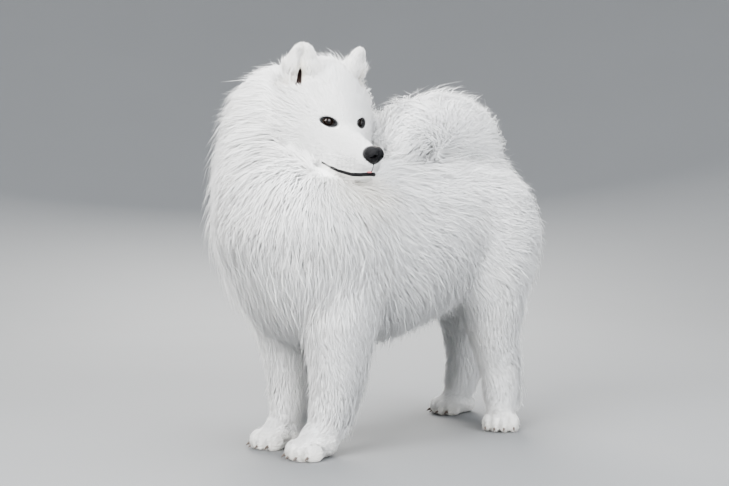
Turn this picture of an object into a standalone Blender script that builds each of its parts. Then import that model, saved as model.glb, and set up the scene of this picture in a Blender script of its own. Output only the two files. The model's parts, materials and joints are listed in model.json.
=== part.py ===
"""A Samoyed, life size, standing with its head turned to its left.

Metres, +Z up. The dog faces -Y and its left side is +X. It stands on the flats under its four paws.
The body is modelled whole and then parted into nodes by thin cuts.
"""

import math
import random

import bmesh
import bpy
import numpy as np
from mathutils import Matrix, Quaternion, Vector
from mathutils.bvhtree import BVHTree

GAP = 0.0003

# The coat: a short one is all in the core, and of a long one the core carries this share
SHORT_COAT = 0.026
LONG_COAT = 0.042
CORE_SHARE = 0.45
HEAD_COAT = 0.018

# The locks, each of about this length and width for its depth of coat, and how they vary
LOCK_DEPTH = 0.0095
LOCK_LENGTH = 0.098
LOCK_LONGER = 1.9
LOCK_SLIM = 0.66
LOCK_SPACING = 0.93
TAIL_SHORTER = 0.30
HEAD_SHORTER = 0.42
LEG_SHORTER = 0.38
FEATHER = 0.011
FEATHER_FROM = 0.135
LOCK_TRIES = 9000
LOCK_SEED = 25

# The head's own frame faces -Y, and its origin is midway between the eyes
EYE_MIDDLE = Vector((0.100, -0.220, 0.652))
HEAD_TURN = math.radians(85)
HEAD_NOD = math.radians(11)

# Where each paw stands, and how many degrees it is turned out
FORE_PAWS = {"left": (0.072, -0.289, 4), "right": (-0.068, -0.263, -4)}
HIND_PAWS = {"left": (0.116, 0.231, 34), "right": (-0.116, 0.317, -8)}
HEELS = {"left": (0.100, 0.242), "right": (-0.110, 0.362)}
PAW_LENGTH = 0.092
PAW_WIDTH = 0.076
SIDES = {"left": 1, "right": -1}

# Heights and places of the cuts that part the body
WRIST = 0.082
HOCK = 0.128
ELBOW = 0.285
KNEE = 0.262
HIP = 0.400
TAIL_SEAT = Vector((0, 0.20, 0.608))
TAIL_SEAT_FACES = Vector((0.30, 0, 1)).normalized()
NECK_FOOT = Vector((0, -0.26, 0.508))
NECK_FOOT_FACES = Vector((0, -0.50, 0.866))
NAPE_AT = 0.100
NAPE_SLOPE = 0.62
THROAT = -0.113

# Fineness of the modelled skins
BODY_VOXEL = 0.007
HEAD_VOXEL = 0.0032
PAW_VOXEL = 0.0032

# Stations of the body: x, y, z, half width, half depth, length of the coat
TRUNK = [
    (0, -0.372, 0.410, 0.030, 0.045, 0.034),
    (0, -0.335, 0.415, 0.075, 0.085, 0.060),
    (0, -0.270, 0.420, 0.108, 0.120, 0.070),
    (0, -0.170, 0.418, 0.126, 0.142, 0.064),
    (0, -0.050, 0.415, 0.132, 0.138, 0.058),
    (0, 0.050, 0.430, 0.124, 0.122, 0.056),
    (0, 0.140, 0.448, 0.110, 0.104, 0.056),
    (0, 0.230, 0.450, 0.104, 0.098, 0.060),
    (0, 0.305, 0.445, 0.082, 0.084, 0.066),
    (0, 0.358, 0.440, 0.042, 0.050, 0.044),
]
NECK = [
    (0, -0.200, 0.246, 0.050, 0.062, 0.044),
    (0, -0.198, 0.272, 0.082, 0.100, 0.056),
    (0, -0.196, 0.305, 0.096, 0.112, 0.064),
    (0, -0.197, 0.345, 0.108, 0.122, 0.070),
    (0, -0.202, 0.400, 0.115, 0.132, 0.080),
    (0, -0.212, 0.460, 0.114, 0.148, 0.086),
    (-0.008, -0.219, 0.508, 0.082, 0.138, 0.086),
    (-0.040, -0.223, 0.545, 0.046, 0.126, 0.084),
    (-0.056, -0.225, 0.580, 0.028, 0.118, 0.082),
    (-0.060, -0.227, 0.620, 0.022, 0.104, 0.080),
    (-0.058, -0.228, 0.660, 0.026, 0.090, 0.074),
    (-0.054, -0.228, 0.700, 0.036, 0.084, 0.066),
    (-0.048, -0.228, 0.726, 0.036, 0.078, 0.054),
    (-0.042, -0.228, 0.743, 0.032, 0.054, 0.040),
    (-0.030, -0.228, 0.758, 0.022, 0.034, 0.026),
]
TAIL = [
    (0, 0.235, 0.500, 0.034, 0.034, 0.030),
    (0, 0.262, 0.555, 0.026, 0.026, 0.044),
    (0.004, 0.262, 0.600, 0.024, 0.022, 0.052),
    (0.010, 0.234, 0.634, 0.022, 0.020, 0.056),
    (0.020, 0.180, 0.648, 0.020, 0.018, 0.056),
    (0.032, 0.110, 0.648, 0.018, 0.016, 0.058),
    (0.044, 0.040, 0.644, 0.016, 0.014, 0.058),
    (0.056, -0.032, 0.634, 0.014, 0.013, 0.056),
    (0.074, -0.064, 0.610, 0.011, 0.011, 0.048),
    (0.086, -0.068, 0.580, 0.008, 0.008, 0.038),
]

# The head, in its own frame: place along it, half width, lowest, highest, narrowing towards the top
HEAD = [
    (-0.1025, 0.016, -0.090, -0.050, 0.00),
    (-0.0960, 0.0250, -0.100, -0.037, 0.02),
    (-0.0800, 0.0305, -0.1055, -0.0275, 0.06),
    (-0.0550, 0.0360, -0.1075, -0.0200, 0.10),
    (-0.0320, 0.0430, -0.1075, -0.0125, 0.14),
    (-0.0140, 0.0535, -0.1070, 0.0000, 0.16),
    (0.0000, 0.0660, -0.1065, 0.0280, 0.16),
    (0.0150, 0.0800, -0.1065, 0.0640, 0.16),
    (0.0350, 0.0950, -0.1070, 0.0970, 0.18),
    (0.0600, 0.1070, -0.1080, 0.1180, 0.20),
    (0.0900, 0.1100, -0.1090, 0.1220, 0.18),
    (0.1250, 0.1020, -0.1100, 0.1120, 0.12),
    (0.1500, 0.0700, -0.0800, 0.0800, 0.08),
]
FACE_SIDES = [
    ((0.0300, 0.0085, 0.0170), (0.019, 0.010, 0.007)),
    ((0.0420, 0.0090, -0.0290), (0.022, 0.017, 0.016)),
    ((0.0125, -0.0800, -0.0700), (0.0180, 0.0210, 0.0230)),
]
EYE_OUT = 0.0350
EYE_DEEP = 0.0105
EYE_RADIUS = 0.0130
EYE_TURN = math.radians(22)
EYE_SLANT = math.radians(14)
LID_THICK = 0.0028
LID_HALF_LONG = 0.0128
LID_HALF_TALL = 0.0074
NOSE_AT = Vector((0, -0.100, -0.0445))
NOSE_RADII = (0.0208, 0.0178, 0.0178)
MOUTH_LINE = [(0.010, -0.076), (-0.012, -0.083), (-0.040, -0.0885), (-0.075, -0.0885), (-0.125, -0.0835)]
MOUTH_GAP = 0.0012
LIP = 0.0024
EAR_ROOT = Vector((0.062, 0.068, 0.062))
EAR_TIP = Vector((0.0715, 0.0634, 0.146))
EAR_WIDTH = 0.078
EAR_DEPTH = 0.029
EAR_TURN = math.radians(28)


def material(name, colour, roughness):
    """A finish with one colour and one roughness."""
    made = bpy.data.materials.new(name)
    made.use_nodes = True
    shader = made.node_tree.nodes["Principled BSDF"]
    shader.inputs["Base Color"].default_value = (*colour, 1)
    shader.inputs["Roughness"].default_value = roughness
    shader.inputs["Metallic"].default_value = 0
    return made


def object_of(name, fill):
    """A new object whose mesh a function fills in."""
    bm = bmesh.new()
    fill(bm)
    bmesh.ops.recalc_face_normals(bm, faces=bm.faces)
    mesh = bpy.data.meshes.new(name)
    bm.to_mesh(mesh)
    bm.free()
    made = bpy.data.objects.new(name, mesh)
    bpy.context.scene.collection.objects.link(made)
    return made


def bake(made):
    """Turns an object's modifiers into its mesh."""
    graph = bpy.context.evaluated_depsgraph_get()
    mesh = bpy.data.meshes.new_from_object(made.evaluated_get(graph))
    made.modifiers.clear()
    made.data = mesh
    return made


def copy_of(made, name):
    """A second object with its own copy of the mesh."""
    twin = bpy.data.objects.new(name, made.data.copy())
    bpy.context.scene.collection.objects.link(twin)
    return twin


def drop(*helpers):
    """Removes helper objects."""
    for helper in helpers:
        bpy.data.objects.remove(helper)


def full_coat(coat):
    """The whole of a coat."""
    return coat


def core_coat(coat):
    """What the core carries of a coat: all of a short one, and less than half of a long one."""
    ease = min(max((coat - SHORT_COAT) / (LONG_COAT - SHORT_COAT), 0), 1)
    return coat * (1 - (1 - CORE_SHARE) * ease)


def tube(bm, stations, carried, sides):
    """A closed tube through stations, as thick as the body and what is carried of its coat."""
    middles = [Vector(station[:3]) for station in stations]
    rings = []
    for at, station in enumerate(stations):
        before = middles[max(at - 1, 0)]
        after = middles[min(at + 1, len(middles) - 1)]
        along = (after - before).normalized()
        deep = along.cross(Vector((1, 0, 0))).normalized()
        across = deep.cross(along).normalized()
        half_width, half_depth, coat = station[3:]
        ring = []
        for step in range(sides):
            turn = 2 * math.pi * step / sides
            out = across * ((half_width + carried(coat)) * math.cos(turn))
            out += deep * ((half_depth + carried(coat)) * math.sin(turn))
            ring.append(bm.verts.new(middles[at] + out))
        rings.append(ring)
    close_tube(bm, rings)


def close_tube(bm, rings):
    """Faces along a row of rings, and a cap on each end."""
    for first, second in zip(rings, rings[1:]):
        join_rings(bm, first, second)
    bm.faces.new(rings[0])
    bm.faces.new(rings[-1])


def join_rings(bm, first, second):
    """A band of faces between two rings."""
    for step in range(len(first)):
        after = (step + 1) % len(first)
        bm.faces.new((first[step], first[after], second[after], second[step]))


def ball(bm, middle, radii, turn=None, rows=14):
    """An ellipsoid, turned by a matrix."""
    turn = turn or Matrix.Identity(4)
    place = Matrix.Translation(middle) @ turn @ Matrix.Diagonal((*radii, 1))
    bmesh.ops.create_uvsphere(bm, u_segments=2 * rows - 4, v_segments=rows, radius=1, matrix=place)


def box(name, low, high):
    """A box between two corners."""
    middle = (Vector(low) + Vector(high)) / 2
    place = Matrix.Translation(middle) @ Matrix.Diagonal((*(Vector(high) - Vector(low)), 1))
    return object_of(name, lambda bm: bmesh.ops.create_cube(bm, size=1, matrix=place))


def block_beyond(name, point, faces, reach=1.0):
    """A large block that stands on a plane, on the side that its normal faces."""
    turn = faces.to_track_quat("Z", "Y").to_matrix().to_4x4()
    place = Matrix.Translation(point) @ turn @ Matrix.Translation((0, 0, reach / 2))
    return object_of(name, lambda bm: bmesh.ops.create_cube(bm, size=reach, matrix=place))


def boolean(made, other, operation):
    """One Boolean of two closed objects, applied."""
    step = made.modifiers.new(operation, "BOOLEAN")
    step.operation = operation
    step.object = other
    step.solver = "MANIFOLD"
    return bake(made)


def relaxed(made, times):
    """The same skin of quads, each corner moved half way towards its neighbours, some times over."""
    places = np.empty(len(made.data.vertices) * 3)
    made.data.vertices.foreach_get("co", places)
    places = places.reshape(-1, 3)
    corners = np.empty(len(made.data.loops), dtype=int)
    made.data.loops.foreach_get("vertex_index", corners)
    corners = corners.reshape(-1, 4)
    start = corners.ravel()
    end = np.roll(corners, -1, axis=1).ravel()
    found = np.bincount(start) + np.bincount(end)
    for _ in range(times):
        for axis in range(3):
            along = places[:, axis]
            total = np.bincount(start, along[end]) + np.bincount(end, along[start])
            places[:, axis] = (along + total / found) / 2

    def fill(bm):
        verts = [bm.verts.new(place) for place in places]
        for face in corners:
            bm.faces.new([verts[at] for at in face])

    name = made.name
    drop(made)
    return object_of(name, fill)


def fused(made, voxel, smooth, triangles):
    """Melts overlapping shapes into one smooth skin of about this many triangles."""
    remesh = made.modifiers.new("melt", "REMESH")
    remesh.mode = "VOXEL"
    remesh.voxel_size = voxel
    made = relaxed(bake(made), smooth)
    found = sum(len(face.vertices) - 2 for face in made.data.polygons)
    thin = made.modifiers.new("thin", "DECIMATE")
    thin.ratio = triangles / found
    return bake(made)


def keep_largest(made):
    """Keeps only the largest closed surface of an object."""
    bm = bmesh.new()
    bm.from_mesh(made.data)
    unseen = set(bm.verts)
    groups = []
    while unseen:
        group = [unseen.pop()]
        for vert in group:
            for edge in vert.link_edges:
                other = edge.other_vert(vert)
                if other in unseen:
                    unseen.discard(other)
                    group.append(other)
        groups.append(group)
    groups.sort(key=span_of, reverse=True)
    for group in groups[1:]:
        bmesh.ops.delete(bm, geom=group, context="VERTS")
    bm.to_mesh(made.data)
    bm.free()
    return made


def span_of(group):
    """The diagonal of the box round some points."""
    spans = []
    for axis in range(3):
        values = [vert.co[axis] for vert in group]
        spans.append(max(values) - min(values))
    return Vector(spans).length


def part_off(whole, name, cell, wide_cell):
    """Takes off what lies in a cell, and leaves a thin gap between it and the rest."""
    piece = boolean(copy_of(whole, name), cell, "INTERSECT")
    boolean(whole, wide_cell, "DIFFERENCE")
    drop(cell, wide_cell)
    keep_largest(whole)
    return keep_largest(piece)


def part_off_beyond(whole, name, point, faces, reach=1.0):
    """Takes off what lies beyond a plane."""
    cell = block_beyond("cell", point, faces, reach)
    wide = block_beyond("wide_cell", point - faces * GAP, faces, reach + 2 * GAP)
    return part_off(whole, name, cell, wide)


def part_off_box(whole, name, low, high):
    """Takes off what lies in a box."""
    room = Vector((GAP, GAP, GAP))
    cell = box("cell", low, high)
    wide = box("wide_cell", Vector(low) - room, Vector(high) + room)
    return part_off(whole, name, cell, wide)


def swollen(made, by):
    """A copy swollen by a small distance."""
    twin = copy_of(made, "swollen")
    swell = twin.modifiers.new("swell", "DISPLACE")
    swell.strength = by
    swell.mid_level = 0
    return bake(twin)


def cut_clear(made, other, by=GAP):
    """Cuts one object clear of another."""
    cutter = swollen(other, by)
    boolean(made, cutter, "DIFFERENCE")
    drop(cutter)
    return keep_largest(made)


def foreleg_stations(side):
    """The foreleg from the shoulder to inside the paw."""
    x, y, _ = FORE_PAWS[side]
    out = SIDES[side]
    back = y + 0.057
    return [
        (out * 0.080, -0.200, 0.440, 0.050, 0.070, 0.040),
        (out * 0.088, -0.205, 0.330, 0.042, 0.056, 0.036),
        (x + out * 0.020, back + 0.004, 0.250, 0.032, 0.044, 0.034),
        (x + out * 0.014, back + 0.003, 0.170, 0.026, 0.034, 0.028),
        (x + out * 0.008, back - 0.002, 0.110, 0.023, 0.028, 0.018),
        (x + out * 0.003, back - 0.010, 0.070, 0.023, 0.026, 0.011),
        (x, back - 0.018, 0.030, 0.023, 0.025, 0.008),
    ]


def hindleg_stations(side):
    """The hind leg from the hip over the stifle to the hock, and down inside the paw."""
    x, y, _ = HIND_PAWS[side]
    heel_x, heel_y = HEELS[side]
    out = SIDES[side]
    back = heel_y - HEELS["left"][1]
    return [
        (out * 0.060, 0.222 + back * 0.1, 0.500, 0.048, 0.086, 0.052),
        (out * 0.082, 0.225 + back * 0.3, 0.410, 0.054, 0.088, 0.052),
        (out * 0.090, 0.220 + back * 0.75, 0.330, 0.048, 0.070, 0.044),
        (out * 0.098, 0.222 + back * 1.05, 0.262, 0.035, 0.044, 0.032),
        (heel_x, 0.222 + back * 1.12, 0.200, 0.024, 0.031, 0.026),
        (heel_x, heel_y, 0.132, 0.021, 0.028, 0.017),
        (heel_x * 0.7 + x * 0.3, heel_y * 0.7 + y * 0.3, 0.080, 0.019, 0.022, 0.014),
        (heel_x * 0.5 + x * 0.5, heel_y * 0.5 + y * 0.5, 0.030, 0.021, 0.023, 0.009),
    ]


def body_tubes(bm, carried):
    """Trunk, neck, tail and legs as tubes that run into one another."""
    tube(bm, TRUNK, carried, 28)
    tube(bm, NECK, carried, 28)
    tube(bm, TAIL, carried, 20)
    for side in SIDES:
        tube(bm, foreleg_stations(side), carried, 20)
        tube(bm, hindleg_stations(side), carried, 20)


def body_core():
    """The body with what its core carries of the coat."""
    return fused(object_of("body", lambda bm: body_tubes(bm, core_coat)), BODY_VOXEL, 10, 1500)


def paw_place(spot):
    """The frame of a paw: it points along -Y, turned out a little."""
    x, y, turn = spot
    return Matrix.Translation((x, y, 0)) @ Matrix.Rotation(math.radians(turn), 4, "Z")


def toe_spots():
    """For each toe its share from the middle, and where its middle lies in the paw's frame."""
    for share in (-1.5, -0.5, 0.5, 1.5):
        ahead = PAW_LENGTH * (0.27 if abs(share) < 1 else 0.17)
        yield share, Vector((share * PAW_WIDTH * 0.25, -ahead, 0.015))


def paw_skin(leg, spot):
    """A paw with four toes, joined to the lower end of its leg."""
    place = paw_place(spot)
    turn = place.to_3x3().to_4x4()

    def fill(bm):
        ball(bm, place @ Vector((0, 0.008, 0.022)), (PAW_WIDTH * 0.43, PAW_LENGTH * 0.42, 0.027), turn)
        ball(bm, place @ Vector((0, 0.014, 0.036)), (PAW_WIDTH * 0.34, PAW_LENGTH * 0.30, 0.030), turn)
        for share, middle in toe_spots():
            splay = turn @ Matrix.Rotation(math.radians(-share * 9), 4, "Z")
            ball(bm, place @ middle, (PAW_WIDTH * 0.147, PAW_LENGTH * 0.25, 0.0195), splay)
        tube(bm, leg[-3:], full_coat, 20)

    return fused(object_of("paw_skin", fill), PAW_VOXEL, 5, 300)


def claw(name, spot, share, toe):
    """A short claw that curves down in front of its toe."""
    place = paw_place(spot)
    start = toe + Vector((share * 0.0010, -PAW_LENGTH * 0.19, -0.005))
    bend = [(0, 0, 0.0040), (0.0075, 0.0008, 0.0034), (0.0135, 0.0056, 0.0010)]

    def fill(bm):
        rings = []
        for ahead, down, thick in bend:
            middle = start + Vector((share * ahead * 0.12, -ahead, -down))
            ring = []
            for step in range(4):
                turn = 2 * math.pi * step / 4
                out = Vector((thick * 0.8 * math.cos(turn), 0, thick * math.sin(turn)))
                ring.append(bm.verts.new(place @ (middle + out)))
            rings.append(ring)
        close_tube(bm, rings)

    return object_of(name, fill)


def head_rings(bm, carried):
    """Skull, cheeks and muzzle as one tube, whose coat grows towards the nape."""
    sides = 32
    rings = []
    for y, half_width, low, high, narrowing in HEAD:
        bare = (HEAD_COAT - carried) * min(max((y - 0.005) / 0.040, 0), 1)
        middle, half_height = (low + high) / 2, (high - low) / 2 - bare
        ring = []
        for step in range(sides):
            turn = 2 * math.pi * step / sides
            x = (half_width - bare) * math.cos(turn) * (1 - narrowing * math.sin(turn))
            ring.append(bm.verts.new((x, y, middle + half_height * math.sin(turn))))
        rings.append(ring)
    close_tube(bm, rings)


def head_skin():
    """Skull, cheeks, brows and muzzle in one skin, with lids and lips."""

    def fill(bm):
        head_rings(bm, 0)
        for out in SIDES.values():
            for middle, radii in FACE_SIDES:
                ball(bm, (out * middle[0], *middle[1:]), radii)

    head = fused(object_of("head", fill), HEAD_VOXEL, 12, 1100)
    lips = [lip(head, rise) for rise in (LIP, -LIP)]
    lids = object_of("lids", lambda bm: [eyelids(bm, out) for out in SIDES.values()])
    unite(head, [*lips, lids])
    for out in SIDES.values():
        opening = eye_opening(out)
        boolean(head, opening, "DIFFERENCE")
        drop(opening)
    return head


def eye_middle(out):
    """The middle of one eyeball, in the head's frame."""
    return Vector((out * EYE_OUT, EYE_DEEP, 0))


def eye_opening(out):
    """The room between the lids: an almond in front of the eye whose outer corner is the higher."""
    axis = Vector((out * math.sin(EYE_TURN), -math.cos(EYE_TURN), 0.05)).normalized()
    across = Vector((0, 0, 1)).cross(axis).normalized() * -out
    rise = axis.cross(across) * -out
    outward = across * math.cos(EYE_SLANT) + rise * math.sin(EYE_SLANT)
    upward = rise * math.cos(EYE_SLANT) - across * math.sin(EYE_SLANT)
    steps = 14

    def fill(bm):
        rings = []
        for depth, flare in ((0.55, 0.86), (1.35, 1.0), (2.2, 1.5)):
            ring = []
            for step in range(steps):
                turn = 2 * math.pi * step / steps
                long = LID_HALF_LONG * math.cos(turn)
                tall = LID_HALF_TALL * math.sin(turn) * abs(math.sin(turn)) ** 0.35
                shift = axis * (EYE_RADIUS * depth)
                ring.append(bm.verts.new(eye_middle(out) + shift + (outward * long + upward * tall) * flare))
            rings.append(ring)
        close_tube(bm, rings)

    return object_of("opening", fill)


def eyelids(bm, out):
    """The round of the lids over one eyeball."""
    ball(bm, eye_middle(out), (EYE_RADIUS + LID_THICK,) * 3, rows=8)


def mouth_height(y):
    """The height of the line of the mouth at a place along the muzzle."""
    for (back_y, back_z), (front_y, front_z) in zip(MOUTH_LINE, MOUTH_LINE[1:]):
        if y >= front_y:
            share = (y - back_y) / (front_y - back_y)
            return back_z + (front_z - back_z) * share
    return MOUTH_LINE[-1][1]


def lip_route(head, rise):
    """Points on the skin of the head along one lip, from one corner of the mouth to the other."""
    centre_y = -0.062
    points = []
    steps = 11
    for step in range(steps + 1):
        swing = math.radians(152 * (2 * step / steps - 1))
        aim = Vector((math.sin(swing), -math.cos(swing), 0))
        y = centre_y
        for _ in range(4):
            start = Vector((0, centre_y, mouth_height(y) + rise))
            found, spot, _, _ = head.ray_cast(start, aim)
            y = spot.y
        if y > MOUTH_LINE[0][0]:
            continue
        points.append(spot)
    return points


def lip(head, rise):
    """One lip: a thin roll along the mouth that tapers towards its corners."""
    points = lip_route(head, rise)

    def fill(bm):
        rings = []
        for at, point in enumerate(points):
            before = points[max(at - 1, 0)]
            after = points[min(at + 1, len(points) - 1)]
            along = (after - before).normalized()
            out = along.cross(Vector((0, 0, 1))).normalized()
            up = out.cross(along)
            share = at / (len(points) - 1)
            thick = LIP * (0.45 + 0.55 * math.sin(math.pi * share) ** 0.5)
            ring = []
            for step in range(4):
                turn = 2 * math.pi * step / 4
                ring.append(bm.verts.new(point + (out * math.cos(turn) + up * math.sin(turn)) * thick))
            rings.append(ring)
        close_tube(bm, rings)

    return object_of("lip", fill)


def prism(name, outline, half):
    """A block whose outline is given from the side, as points y, z."""

    def fill(bm):
        near = [bm.verts.new((-half, y, z)) for y, z in outline]
        far = [bm.verts.new((half, y, z)) for y, z in outline]
        join_rings(bm, near, far)
        bm.faces.new(near)
        bm.faces.new(far)

    return object_of(name, fill)


def jaw_room(name, spread):
    """All that lies under the line of the mouth, ahead of its corner."""
    outline = [(y, z + spread) for y, z in MOUTH_LINE]
    back, front = outline[0][0] + 0.004 + spread, outline[-1][0]
    outline.insert(0, (back, outline[0][1] - 0.050))
    outline += [(front, -0.160 - spread), (back, -0.160 - spread)]
    return prism(name, outline, 0.052 + spread)


def head_room(name, spread):
    """All that lies ahead of the nape and above the throat, in place on the dog."""
    top, front = 0.200, -0.160
    throat = THROAT - spread
    outline = [
        (NAPE_AT + NAPE_SLOPE * top + spread, top + spread),
        (front, top + spread),
        (front, throat),
        (NAPE_AT + NAPE_SLOPE * throat + spread, throat),
    ]
    room = prism(name, outline, 0.200 + spread)
    room.data.transform(head_place())
    return room


def nose_leather():
    """The nose, with two nostrils that open to the front and side."""
    nose = object_of("nose", lambda bm: ball(bm, NOSE_AT, NOSE_RADII, rows=8))
    for out in SIDES.values():
        spot = NOSE_AT + Vector((out * 0.0090, -0.0160, -0.0020))
        turn = Matrix.Rotation(out * 0.55, 4, "Z")
        hole = object_of("hole", lambda bm: ball(bm, spot, (0.0040, 0.0085, 0.0032), turn, rows=6))
        boolean(nose, hole, "DIFFERENCE")
        drop(hole)
    return nose


def ear(name, out):
    """A thick ear with a rounded tip and a cup that opens forward and outward."""
    upward = EAR_TIP - EAR_ROOT
    levels = (-0.35, 0.0, 0.25, 0.5, 0.72, 0.88, 0.98)
    points = 6

    def fill(bm):
        rings = []
        for level in levels:
            share = max(level, 0)
            narrow = (1 - share ** 2.4) ** 0.62
            half = EAR_WIDTH / 2 * (0.16 + 0.84 * narrow)
            deep = EAR_DEPTH * (0.30 + 0.70 * narrow) * (1 - 0.25 * share)
            hollow = 0.30 + 0.45 * share
            ring = []
            for step in range(points):
                turn = math.pi * step / (points - 1)
                ring.append(Vector((half * math.cos(turn), deep * math.sin(turn), 0)))
            for step in range(1, points - 1):
                turn = math.pi * (1 - step / (points - 1))
                ring.append(Vector((half * 0.86 * math.cos(turn), deep * hollow * math.sin(turn), 0)))
            rings.append([bm.verts.new(point + upward * level) for point in ring])
        close_tube(bm, rings)

    made = object_of(name, fill)
    turn = Matrix.Rotation(EAR_TURN, 4, "Z")
    made.data.transform(Matrix.Diagonal((out, 1, 1, 1)) @ Matrix.Translation(EAR_ROOT) @ turn)
    if out < 0:
        made.data.flip_normals()
    return made


def head_pieces(head):
    """What the head's own cuts and additions make of it, in the head's frame."""
    pieces = {}
    for side, out in SIDES.items():
        name = f"eye_{side}"
        pieces[name] = object_of(name, lambda bm: ball(bm, eye_middle(out), (EYE_RADIUS,) * 3, rows=8))
        cut_clear(head, pieces[name])
    pieces["nose"] = nose_leather()
    nose_room = object_of("nose_room", lambda bm: ball(bm, NOSE_AT, NOSE_RADII, rows=8))
    cut_clear(head, nose_room)
    drop(nose_room)
    jaw = copy_of(head, "lower_jaw")
    inner, outer = jaw_room("inner", -MOUTH_GAP / 2), jaw_room("outer", MOUTH_GAP / 2)
    pieces["lower_jaw"] = keep_largest(boolean(jaw, inner, "INTERSECT"))
    keep_largest(boolean(head, outer, "DIFFERENCE"))
    drop(inner, outer)
    return pieces


def head_place():
    """Where the head's own frame stands on the dog."""
    turn = Matrix.Rotation(HEAD_TURN, 4, "Z") @ Matrix.Rotation(HEAD_NOD, 4, "X")
    return Matrix.Translation(EYE_MIDDLE) @ turn


def unite(made, others):
    """Joins many closed objects to one, in one Boolean."""
    group = bpy.data.collections.new("group")
    bpy.context.scene.collection.children.link(group)
    for other in others:
        group.objects.link(other)
    step = made.modifiers.new("unite", "BOOLEAN")
    step.operation = "UNION"
    step.operand_type = "COLLECTION"
    step.solver = "EXACT"
    step.use_self = True
    step.collection = group
    bake(made)
    drop(*others)
    bpy.data.collections.remove(group)
    return keep_largest(made)


def lie(point):
    """Which way the coat lies: away from the face, back along the trunk, down the legs and over the tail."""
    nose = head_place() @ NOSE_AT
    skull = head_place() @ Vector((0, 0.06, 0))
    near_face = math.exp(-((point - skull).length / 0.17) ** 2)
    back = min(max((point.y + 0.27) / 0.22, 0), 1) * min(max((point.z - 0.24) / 0.10, 0), 1)
    way = (point - nose).normalized() * 2.2 * near_face
    way += Vector((0, 1, 0)) * (0.15 + 0.95 * back)
    way += Vector((0, 0, -1)) * 0.75
    on_tail, along = tail_way(point)
    return way * (1 - on_tail) + (along * 0.8 + Vector((math.copysign(0.5, point.x - 0.03), 0.35, -0.5))) * on_tail


def tail_way(point):
    """How far a point belongs to the tail, and which way the tail runs there."""
    best, along = 1.0, Vector((0, 0, 1))
    for first, second in zip(TAIL[1:], TAIL[2:]):
        start, end = Vector(first[:3]), Vector(second[:3])
        away = (point - (start + end) / 2).length
        if away < best:
            best, along = away, (end - start).normalized()
    return min(max((0.115 - best) / 0.030, 0), 1) * min(max((point.z - 0.56) / 0.03, 0), 1), along


def tree_of(made):
    """An object's surface, for finding places on it."""
    bm = bmesh.new()
    bm.from_mesh(made.data)
    tree = BVHTree.FromBMesh(bm)
    bm.free()
    return tree


def crosses_itself(made):
    """Whether two faces of an object that share no corner run through each other, or it is inside out."""
    bm = bmesh.new()
    bm.from_mesh(made.data)
    bm.faces.ensure_lookup_table()
    tree = BVHTree.FromBMesh(bm)
    crossed = bm.calc_volume(signed=True) <= 0
    for first, second in tree.overlap(tree):
        corners = set(bm.faces[first].verts) & set(bm.faces[second].verts)
        crossed = crossed or not corners
    bm.free()
    return crossed


def coat_depth(tips, spot, faces):
    """How far the tips of the coat stand off a spot on the core."""
    over, _, _, _ = tips.find_nearest(spot)
    return max((over - spot).dot(faces), 0)


def spots_on(made, count, draw):
    """Spots spread evenly at random over an object, with the directions that they face."""
    made.data.calc_loop_triangles()
    triangles = list(made.data.loop_triangles)
    areas = [triangle.area for triangle in triangles]
    for triangle in draw.choices(triangles, areas, k=count):
        first, second = draw.random(), draw.random()
        if first + second > 1:
            first, second = 1 - first, 1 - second
        a, b, c = (made.data.vertices[at].co for at in triangle.vertices)
        yield a + (b - a) * first + (c - a) * second, triangle.normal.copy()


def lock_length(spot, depth):
    """The length of a lock for its depth of coat, shorter on the tail, the head and the legs."""
    skull = head_place() @ Vector((0, 0.05, 0))
    on_head = min(max((0.165 - (spot - skull).length) / 0.045, 0), 1)
    shorter = max(TAIL_SHORTER * tail_way(spot)[0], HEAD_SHORTER * on_head)
    if spot.z < ELBOW:
        shorter = LEG_SHORTER
    return (LOCK_LENGTH + LOCK_LONGER * depth) * (1 - shorter)


def lock_path(core, spot, faces, length, bend):
    """Spots and normals on the core, one by one along the lie of the coat."""
    steps = 10
    path = []
    for step in range(steps + 1):
        way = lie(spot)
        way = (way - faces * way.dot(faces)).normalized()
        way.rotate(Quaternion(faces, bend * (0.4 + step / steps)))
        path.append((spot.copy(), faces.copy(), way))
        spot, fresh, _, _ = core.find_nearest(spot + way * (length / steps))
        faces = (faces * 0.5 + fresh * 0.5).normalized()
    return path


def runs_true(path):
    """Whether a path bends gently enough for a lock to follow it without crossing itself."""
    for (_, faces, way), (_, faces_after, way_after) in zip(path, path[2:]):
        if faces.dot(faces_after) < 0.70 or way.dot(way_after) < 0.70:
            return False
    return path[0][2].dot(path[-1][2]) > 0.1 and path[0][1].dot(path[-1][1]) > 0.1


# Along a lock: share of its length, half width, and heights of its ridge and its two edges
LOCK_FORM = [
    (0.00, 0.50, -0.10, -0.50),
    (0.36, 1.00, 0.78, -0.12),
    (0.72, 0.82, 1.02, 0.44),
]


def lock(tips, path, depth, width):
    """A flat lock that leaves its root under the skin, bends along its path and ends in a tip."""

    def fill(bm):
        rings = []
        for share, wide, ridge, edge in LOCK_FORM:
            spot, faces, way = path[round(share * (len(path) - 1))]
            rise = coat_depth(tips, spot, faces) * 0.5 + depth * 0.5
            across = way.cross(faces) * (wide * width / 2)
            low, high = spot + faces * rise * edge, spot + faces * rise * ridge
            rings.append([bm.verts.new(corner) for corner in (low - across, high, low + across)])
        for first, second in zip(rings, rings[1:]):
            join_rings(bm, first, second)
        bm.faces.new(rings[0])
        spot, faces, _ = path[-1]
        tip = bm.verts.new(spot + faces * max(coat_depth(tips, spot, faces), depth * 0.5) * 0.97)
        for step in range(3):
            bm.faces.new((rings[-1][step], rings[-1][(step + 1) % 3], tip))
        bmesh.ops.triangulate(bm, faces=bm.faces)

    return object_of("lock", fill)


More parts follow.
